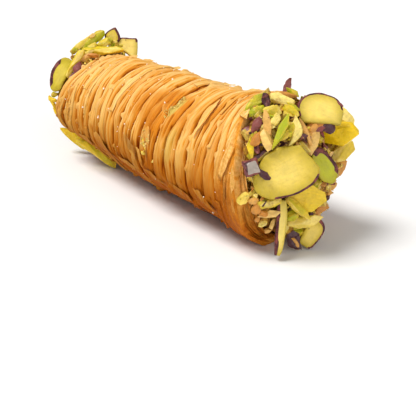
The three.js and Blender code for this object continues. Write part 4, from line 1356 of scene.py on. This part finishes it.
# Small bits set one by one: material, sort, size, place as above, spin as seen from the front corner, tone
# and how ripe.
BITS = (
    ("peel", "skin", (3.8, 1.8, 0.6), (33, 4.9, 33.75), 68, 0.9, 0),
    ("flesh", "leaf", (3.2, 1.6, 1.1), (37, 2.6, 33.8), -35, 0.8, 0),
    ("toasted", "stick", (3.4, 1.3, 1), (37, 1.4, 33.4), -10, 0.9, 0),
    ("flesh", "chunk", (5.4, 2.4, 1.7), (39.2, -2.7, 33.5), -15, 0.02, 0),
    ("peel", "skin", (2.8, 1.9, 0.7), (36.8, -5, 33.4), 110, 0.3, 0),
    ("flesh", "leaf", (6.4, 2.5, 1.3), (34.4, -6.2, 32.1), 45, 0.8, 0),
    ("flesh", "chunk", (3.4, 2.4, 1.8), (36.6, -7.2, 31.4), 20, 0.95, 0),
    ("flesh", "chunk", (3.8, 2.8, 2), (40.2, -6.3, 31.9), 10, 0.35, 0),
    ("flesh", "chunk", (2.8, 2.2, 1.6), (41.7, -6.7, 30.7), 60, 0.2, 0),
    ("flesh", "chunk", (3.4, 2.6, 1.8), (42.2, -2.8, 31.7), -40, 0.45, 0.3),
    ("peel", "skin", (3.4, 2.2, 1.1), (38.9, -9.2, 29.4), 60, 1.1, 0),
    ("peel", "stick", (3, 1, 0.8), (39, -9.4, 28.1), 20, 0.1, 0),
    ("toasted", "stick", (5, 1.7, 1.5), (40.8, -8.2, 30), 100, 0.4, 0),
    ("toasted", "chunk", (4.2, 2.6, 1.8), (42.2, -9.7, 27.1), 115, 0.0, 0),
    ("flesh", "chunk", (2.8, 1.8, 1.4), (43.8, -4.4, 28.6), 80, 0.65, 0),
    ("flesh", "crescent", (5.6, 2, 1.3), (44.6, -3.5, 28.2), 78, 0.0, 0),
    ("toasted", "stick", (6.2, 1.3, 1.1), (44.5, -0.6, 27.5), 112, 0.55, 0),
    ("toasted", "chunk", (5.2, 2.3, 1.6), (45, 1.2, 25.2), 75, 0.1, 0),
    ("toasted", "chunk", (4, 2.6, 2), (43.8, 3.3, 27.8), 30, 1.3, 0),
    ("peel", "chunk", (4.8, 2.8, 1.2), (45, 5.2, 27.9), -50, 0.1, 0),
    ("peel", "stick", (2.2, 1, 0.6), (45, 8.6, 31.9), -30, 0.9, 0),
    ("peel", "skin", (2.2, 1.3, 0.7), (45.9, 2.4, 27.9), 25, 0.9, 0),
    ("toasted", "chunk", (2, 1.4, 1), (45.6, 0.6, 28.2), 40, 0.8, 0),
    ("toasted", "chunk", (3, 2, 1.4), (41, -11, 27.2), 60, 1.2, 0),
    ("peel", "skin", (2.6, 1.6, 0.8), (41, -11, 25.4), 100, 0.7, 0),
    ("flesh", "chunk", (3.2, 2.3, 1.5), (43.6, -6.2, 27.7), 30, 0.6, 0.2),
    ("flesh", "leaf", (4.8, 2, 1.3), (39.9, -11.7, 24.8), 95, 0.65, 0.5),
    ("peel", "stick", (4.4, 1, 0.7), (41.6, -10.4, 24.1), 35, 0.1, 0),
    ("flesh", "leaf", (3.4, 1.5, 1), (41.4, -10.1, 23.2), 35, 0.05, 0),
    ("peel", "stick", (3.6, 1.2, 0.8), (42.2, -11.5, 19.4), -35, 0.3, 0),
    ("peel", "skin", (2.8, 1.5, 0.8), (44.4, -11.9, 20.6), -35, 0.1, 0),
    ("flesh", "chunk", (4.8, 2.6, 1.1), (44.3, -9.9, 13.6), 14, 0.6, 0),
    ("flesh", "chunk", (2.2, 1.6, 1.2), (42.8, -10.4, 8.4), 30, 0.1, 0),
    ("toasted", "chunk", (1.8, 1.3, 1), (42.4, -11.6, 9.9), 60, 0.9, 0),
    ("toasted", "chunk", (1.6, 1.2, 0.9), (43.1, -9, 6.6), 20, 0.5, 0),
    ("toasted", "leaf", (4.6, 1.7, 0.6), (44.1, -9.8, 10.9), 12, 0.0, 0),
    ("toasted", "chunk", (2.6, 1.9, 1.3), (42.5, -12, 12.5), 60, 0.9, 0),
    ("toasted", "chunk", (2, 1.4, 1), (42, -12.5, 14), 10, 0.6, 0),
    ("toasted", "chunk", (2, 1.6, 1.2), (43.4, -11.2, 11.2), 10, 1.2, 0),
    ("toasted", "stick", (2.4, 1.1, 0.8), (43.9, -8.6, 8.3), 70, 0.0, 0),
    ("peel", "skin", (5.2, 3, 1.1), (44.6, -2.8, 2.9), -65, 0.2, 0),
    ("toasted", "chunk", (2.6, 1.3, 0.9), (45.3, -2.5, 2.2), -60, 0.7, 0),
    ("peel", "stick", (2, 1.2, 0.8), (45, 0, 2), 20, 0.2, 0),
    ("toasted", "chunk", (4.6, 2.8, 1.2), (41.2, 14.6, 14.5), 50, 0.8, 0),
    ("peel", "skin", (5.4, 1.6, 0.7), (45.2, 5.6, 15.6), -35, 1.0, 0),
    ("toasted", "chunk", (4.2, 2.6, 1.6), (43, 9.4, 12), 20, 0.6, 0),
    ("flesh", "chunk", (2.6, 1.9, 1.4), (45.5, 2.5, 15.1), 40, 0.65, 0),
    ("flesh", "chunk", (3.2, 2.3, 1.6), (45.1, -3.9, 9.5), 30, 0.75, 0),
    ("flesh", "chunk", (4.4, 2.7, 2), (43.6, -1, 4), 10, 0.7, 0),
    ("toasted", "chunk", (3.8, 2.6, 1.7), (44, 5.8, 7.7), 30, 0.9, 0),
    ("flesh", "chunk", (2.6, 1.9, 1.3), (44.1, -4.5, 6.6), 70, 0.4, 0),
    ("flesh", "chunk", (2.8, 2, 1.4), (44.2, -1.3, 5.7), 20, 0.6, 0),
    ("toasted", "chunk", (1.8, 1.2, 0.8), (-41, 0.3, 33.5), 30, 0.0, 0),
    ("flesh", "chunk", (3.2, 2.3, 1.7), (-38.4, 3.6, 31.7), 20, 0.65, 0),
    ("flesh", "chunk", (3.2, 1.9, 1.6), (-38.2, 2.4, 31.2), 60, 0.5, 0.2),
    ("flesh", "chunk", (3.6, 2.4, 1.8), (-37.4, 6.8, 30.2), 10, 0.6, 0),
    ("flesh", "chunk", (2.8, 2.2, 1.8), (-37.9, 5.2, 30.6), 50, 0.5, 0),
    ("flesh", "chunk", (2.4, 1.8, 1.4), (-41, -5.9, 30), 40, 0.6, 0.1),
    ("toasted", "chunk", (3.6, 2, 1.5), (-36.6, -4.8, 28.7), 25, 0.6, 0),
    ("toasted", "stick", (3, 1.3, 1), (-35, -3.4, 29.4), -10, 1.0, 0),
    ("peel", "skin", (3.6, 2.6, 0.9), (-35.6, -8, 26.3), 70, 1.5, 0),
    ("peel", "skin", (2.6, 2, 0.8), (-36.4, -9.2, 24.4), 40, 1.4, 0),
    ("flesh", "chunk", (2.8, 2, 1.6), (-38.4, -7.6, 27.4), 40, 0.5, 0),
    ("flesh", "stick", (4.6, 1.3, 0.9), (-40.9, -13.9, 16.2), -62, 0.4, 0.8),
    ("flesh", "chunk", (2.4, 1.3, 0.9), (-40.8, -13.8, 17.4), -20, 0.35, 0.8),
    ("flesh", "stick", (4.6, 1.2, 0.9), (-39.5, -13.3, 13.0), -62, 0.4, 0.9),
    ("flesh", "chunk", (3.4, 2.6, 2), (-37.7, 2, 31.6), 30, 0.7, 0),
    ("flesh", "chunk", (3, 2.4, 2), (-39.4, -0.7, 30.4), 50, 0.55, 0),
    ("flesh", "stick", (5, 1.5, 1.2), (-38.2, -3.6, 29.2), 30, 0.4, 0),
    ("flesh", "chunk", (2, 1.5, 1.2), (-41, -13, 18.6), 10, 0.7, 0.2),
    ("flesh", "leaf", (3.8, 1.6, 0.6), (6.1, -14.85, 16.8), -66, 0.45, 0.7),
    ("flesh", "chunk", (1.4, 1.2, 1), (5.7, -15.1, 14.9), 0, 0.35, 0.3),
    ("flesh", "chunk", (1, 0.8, 0.7), (9.4, -15.2, 14), 40, 0.3, 0.2),
    ("flesh", "skin", (3.2, 2.9, 0.6), (40.1, -13.9, 14.2), 50, 0.1, 0.4),
)


# A curled bit of skin, waxy inside.
WAXY_SKIN = dict(
    size=(3.6, 3.9, 1.8), at=(42.2, -13.4, 21.9), look=(-44, 22), spin=20, rough=0.3, seed=31,
    corners=((-0.6, -0.65, 1), (-0.4, 0.6, 1), (0.66, 0.5, 0.9), (0.7, -0.8, 1), (-1, -0.9, -0.2),
             (-0.9, 1, -0.2), (0.95, 0.85, -0.2), (0.95, -1, -0.2), (0, 0, -1)),
    skin=((1, 0, 0.4), (-1, 0, 0.4), (0, 1, 0.4), (0, -1, 0.4)))


class BAKLAVA_OT_slices(bpy.types.Operator):
    """Makes the large slices of pistachio on both ends"""

    bl_idname = "baklava.slices"
    bl_label = "Large slices"

    def execute(self, context):
        cut = nut_material("Pistachio flesh", context.scene.baklava_nuts)
        hewn = nut_material("Hewn flesh", context.scene.baklava_nuts, broken=0.3)
        nut_material("Broken flesh", context.scene.baklava_nuts, broken=0.8)
        for make, table, material in ((kernel_slice, SLICES, cut), (hewn_nut, CHOPPED, hewn)):
            for node, form in table.items():
                piece = make("nut_" + node, **form)
                piece.data.materials.append(material)
                finish_piece(piece, "nut_flesh", node)
        return {"FINISHED"}


def gathered(name, names):
    """Copies of finished pieces as one object, for a tree to work from. It is removed after use."""
    mesh = bpy.data.meshes.new(name)
    shell = bmesh.new()
    for source in names:
        shell.from_mesh(bpy.data.objects[source].data)
    shell.to_mesh(mesh)
    shell.free()
    mark(mesh, open=[1.0] * len(mesh.vertices))
    return linked(bpy.data.objects.new(name, mesh))


def large_slices():
    return gathered("large_slices", ["nut_" + node for node in (*SLICES, *CHOPPED)])


class BAKLAVA_OT_paste(bpy.types.Operator):
    """Makes the nut paste that fills the roll, from the filling's own shape"""

    bl_idname = "baklava.paste"
    bl_label = "Nut paste"

    def execute(self, context):
        source = frame["nodes"]["pistachio_filling"]
        mesh = source.data.copy()
        mesh.transform(source.matrix_world)
        shell = bmesh.new()
        shell.from_mesh(mesh)
        bmesh.ops.remove_doubles(shell, verts=shell.verts, dist=0.001 * MM)
        shell.to_mesh(mesh)
        shell.free()
        rough = linked(bpy.data.objects.new("paste_shape", mesh))
        remesh = rough.modifiers.new("Even", "REMESH")
        remesh.mode = "VOXEL"
        remesh.voxel_size = 0.5 * MM
        soften = rough.modifiers.new("Soften", "SMOOTH")
        soften.factor = 0.5
        soften.iterations = 4
        material = paste_material(context.scene.baklava_nuts)
        slices = large_slices()
        core = grow("nut_paste", core_tree(rough, slices, material))
        removed(rough, slices)
        finish_piece(core, "nut_paste", "pistachio_filling")
        return {"FINISHED"}


class BAKLAVA_OT_chopped(bpy.types.Operator):
    """Scatters chopped nuts, skins and crumbs over both ends"""

    bl_idname = "baklava.chopped"
    bl_label = "Chopped nuts"

    def execute(self, context):
        colours = context.scene.baklava_nuts
        ground = bpy.data.objects["nut_paste"]
        slices = large_slices()
        flesh = bpy.data.materials["Broken flesh"]
        peel = peel_material("Loose skin", colours)
        toasted = crumb_material("Toasted bits", colours.biscuit, colours.toasted)
        crumbs = crumb_material("Nut crumbs", colours.crumb, colours.dark_crumb_and_shade)
        # Each kind: piece, material, size of a bit, its form, how the bits are spread, and the seed.
        for kind in (
            ("chopped_chunks", flesh, (2.7, 2.0, 1.6), dict(skin_share=0.35),
             dict(spacing=2.1, clear=1.4, sink=0.1, tilt=0.8, tone_low=0.05, tone_high=0.85), 3),
            ("chopped_slivers", flesh, (4.4, 1.3, 1.0), dict(skin_share=0.2, bend=0.25),
             dict(spacing=4.0, clear=1.6, sink=-0.2, tilt=0.5, tone_low=0.0, tone_high=0.9), 5),
            ("loose_skins", peel, (2.4, 1.6, 0.4), dict(bend=0.5),
             dict(spacing=4.4, clear=1.6, sink=-0.4, tilt=0.9, tone_low=0.0, tone_high=1.0), 8),
            ("toasted_bits", toasted, (2.4, 1.4, 1.1), dict(bend=0.15),
             dict(spacing=2.9, clear=1.4, sink=-0.1, tilt=0.9, tone_low=0.0, tone_high=1.2), 9),
            ("nut_crumbs", crumbs, (1.0, 0.8, 0.7), dict(corners=8),
             dict(spacing=1.0, clear=0.4, sink=0.05, tilt=1.2, smallest=0.5, largest=1.3, tone_low=0.0,
                  tone_high=1.0), 12),
        ):
            name, *rest = kind
            scattered(name, ground, slices, *rest)
        removed(slices)
        return {"FINISHED"}


class BAKLAVA_OT_bits(bpy.types.Operator):
    """Sets the small bits of nut and skin that stand out among the chopped nuts"""

    bl_idname = "baklava.bits"
    bl_label = "Small bits"

    def execute(self, context):
        colours = context.scene.baklava_nuts
        for kind, title in (("flesh", "Broken flesh"), ("peel", "Loose skin"), ("toasted", "Toasted bits")):
            pieces = []
            for seed, (own, sort, size, at, spin, tone, ripe) in enumerate(BITS, 30):
                if own == kind:
                    bit = hewn_nut(f"bit_{seed}", size, at, SHOWN_WAY, spin, tone=tone, ripe=ripe, seed=seed,
                                   **SORTS[sort])
                    bit.data.materials.append(bpy.data.materials[title])
                    pieces.append(bit)
            finish_piece(joined(f"placed_{kind}", pieces), "nut_flesh")
        waxy = hewn_nut("waxy_skin", **WAXY_SKIN)
        waxy.data.materials.append(peel_material("Waxy skin", colours, waxy=True))
        finish_piece(waxy, "nut_flesh")

        # Crumbs cling to all the chopped nuts.
        heap = gathered("heap", ["placed_flesh", "placed_peel", "placed_toasted", "chopped_chunks",
                                 "chopped_slivers", "toasted_bits"])
        slices = large_slices()
        crumbs = crumb_material("Loose crumbs", colours.pale_crumb, colours.brown_crumb)
        form = dict(corners=8, kinds=8)
        spread = dict(seed=17, spacing=1.5, clear=0.5, sink=0.05, tilt=1.2, smallest=0.45, largest=1.3,
                      tone_low=0.0, tone_high=1.0)
        scattered("loose_crumbs", heap, slices, crumbs, (1.0, 0.75, 0.55), form, spread, 61)
        removed(heap, slices)
        return {"FINISHED"}


# Patches of nut dust on the folds: how many bits, place along the roll from its middle (mm), angle, half
# breadth in folds, half length in degrees, slant in folds, and the least and most tone.
DUST = (
    (110, 11.4, 130, 0.35, 14, -0.35, 0.1, 0.5),
    (60, 7.0, 168, 0.9, 12, 0.0, 0.0, 0.5),
)


class BAKLAVA_OT_dust(bpy.types.Operator):
    """Strews nut dust on the folds and leaves pale beads of syrup in the crevices, whose pale colour is a
    painted glint
    """

    bl_idname = "baklava.dust"
    bl_label = "Dust and syrup"

    def execute(self, context):
        roll = context.scene.baklava_roll
        colours = context.scene.baklava_nuts
        dust = crumb_material("Nut dust", colours.dust, colours.green_dust)
        box = box_of_bits("dust_box", (0.6, 0.45, 0.35), 40, kinds=6, corners=8)
        tree = dust_tree("Nut dust", roll, box, dust)
        pieces = []
        for n, (count, x, angle, folds, arc, slant, low, high) in enumerate(DUST):
            pieces.append(grow(f"dust_{n}", tree, count=count, seed=float(n + 1), fold=fold_near(roll, x),
                               angle=math.radians(angle), folds=folds, arc=math.radians(arc), slant=slant,
                               smallest=0.5, largest=1.6, tone_low=low, tone_high=high))
        finish_piece(joined("nut_dust", pieces), "nut_flesh")
        empty_box(box)

        # Beads of syrup in the crevices, glossy, and pale as painted glints.
        syrup, syrup_look = shader_tree("Syrup")
        paint(syrup_look, Base_Color=colours.syrup, Roughness=0.08, Specular_IOR_Level=0.8)
        box = box_of_bits("bead_box", (0.4, 0.34, 0.28), 41, kinds=4, corners=14)
        beads = grow("syrup_beads", dust_tree("Syrup beads", roll, box, syrup), count=380, seed=9.0,
                     fold=roll.folds / 2, angle=math.radians(140), folds=roll.folds / 2,
                     arc=math.radians(85), held=0.85, level=0.45 * MM, smallest=0.35, largest=1.3)
        finish_piece(beads, "pastry")
        empty_box(box)
        return {"FINISHED"}


class BAKLAVA_PT_panel(bpy.types.Panel):
    bl_label = "Baklava roll"
    bl_idname = "BAKLAVA_PT_panel"
    bl_space_type = "VIEW_3D"
    bl_region_type = "UI"
    bl_category = "Baklava"

    def draw(self, context):
        for group in (context.scene.baklava_roll, context.scene.baklava_pastry, context.scene.baklava_nuts):
            for name in group.bl_rna.properties.keys():
                if name not in ("rna_type", "name"):
                    self.layout.prop(group, name)
        for operator in STEPS:
            self.layout.operator(operator.bl_idname)


STEPS = (BAKLAVA_OT_stage, BAKLAVA_OT_pleats, BAKLAVA_OT_strips, BAKLAVA_OT_flakes, BAKLAVA_OT_slices,
         BAKLAVA_OT_paste, BAKLAVA_OT_chopped, BAKLAVA_OT_bits, BAKLAVA_OT_dust)
CLASSES = (RollSizes, PastryColours, NutColours, *STEPS, BAKLAVA_PT_panel)


def register():
    for item in CLASSES:
        bpy.utils.register_class(item)
    bpy.types.Scene.baklava_roll = bpy.props.PointerProperty(type=RollSizes)
    bpy.types.Scene.baklava_pastry = bpy.props.PointerProperty(type=PastryColours)
    bpy.types.Scene.baklava_nuts = bpy.props.PointerProperty(type=NutColours)


def unregister():
    del bpy.types.Scene.baklava_nuts
    del bpy.types.Scene.baklava_pastry
    del bpy.types.Scene.baklava_roll
    for item in reversed(CLASSES):
        bpy.utils.unregister_class(item)


def main():
    register()
    for operator in STEPS:
        group, name = operator.bl_idname.split(".")
        getattr(getattr(bpy.ops, group), name)()


if __name__ == "__main__":
    main()
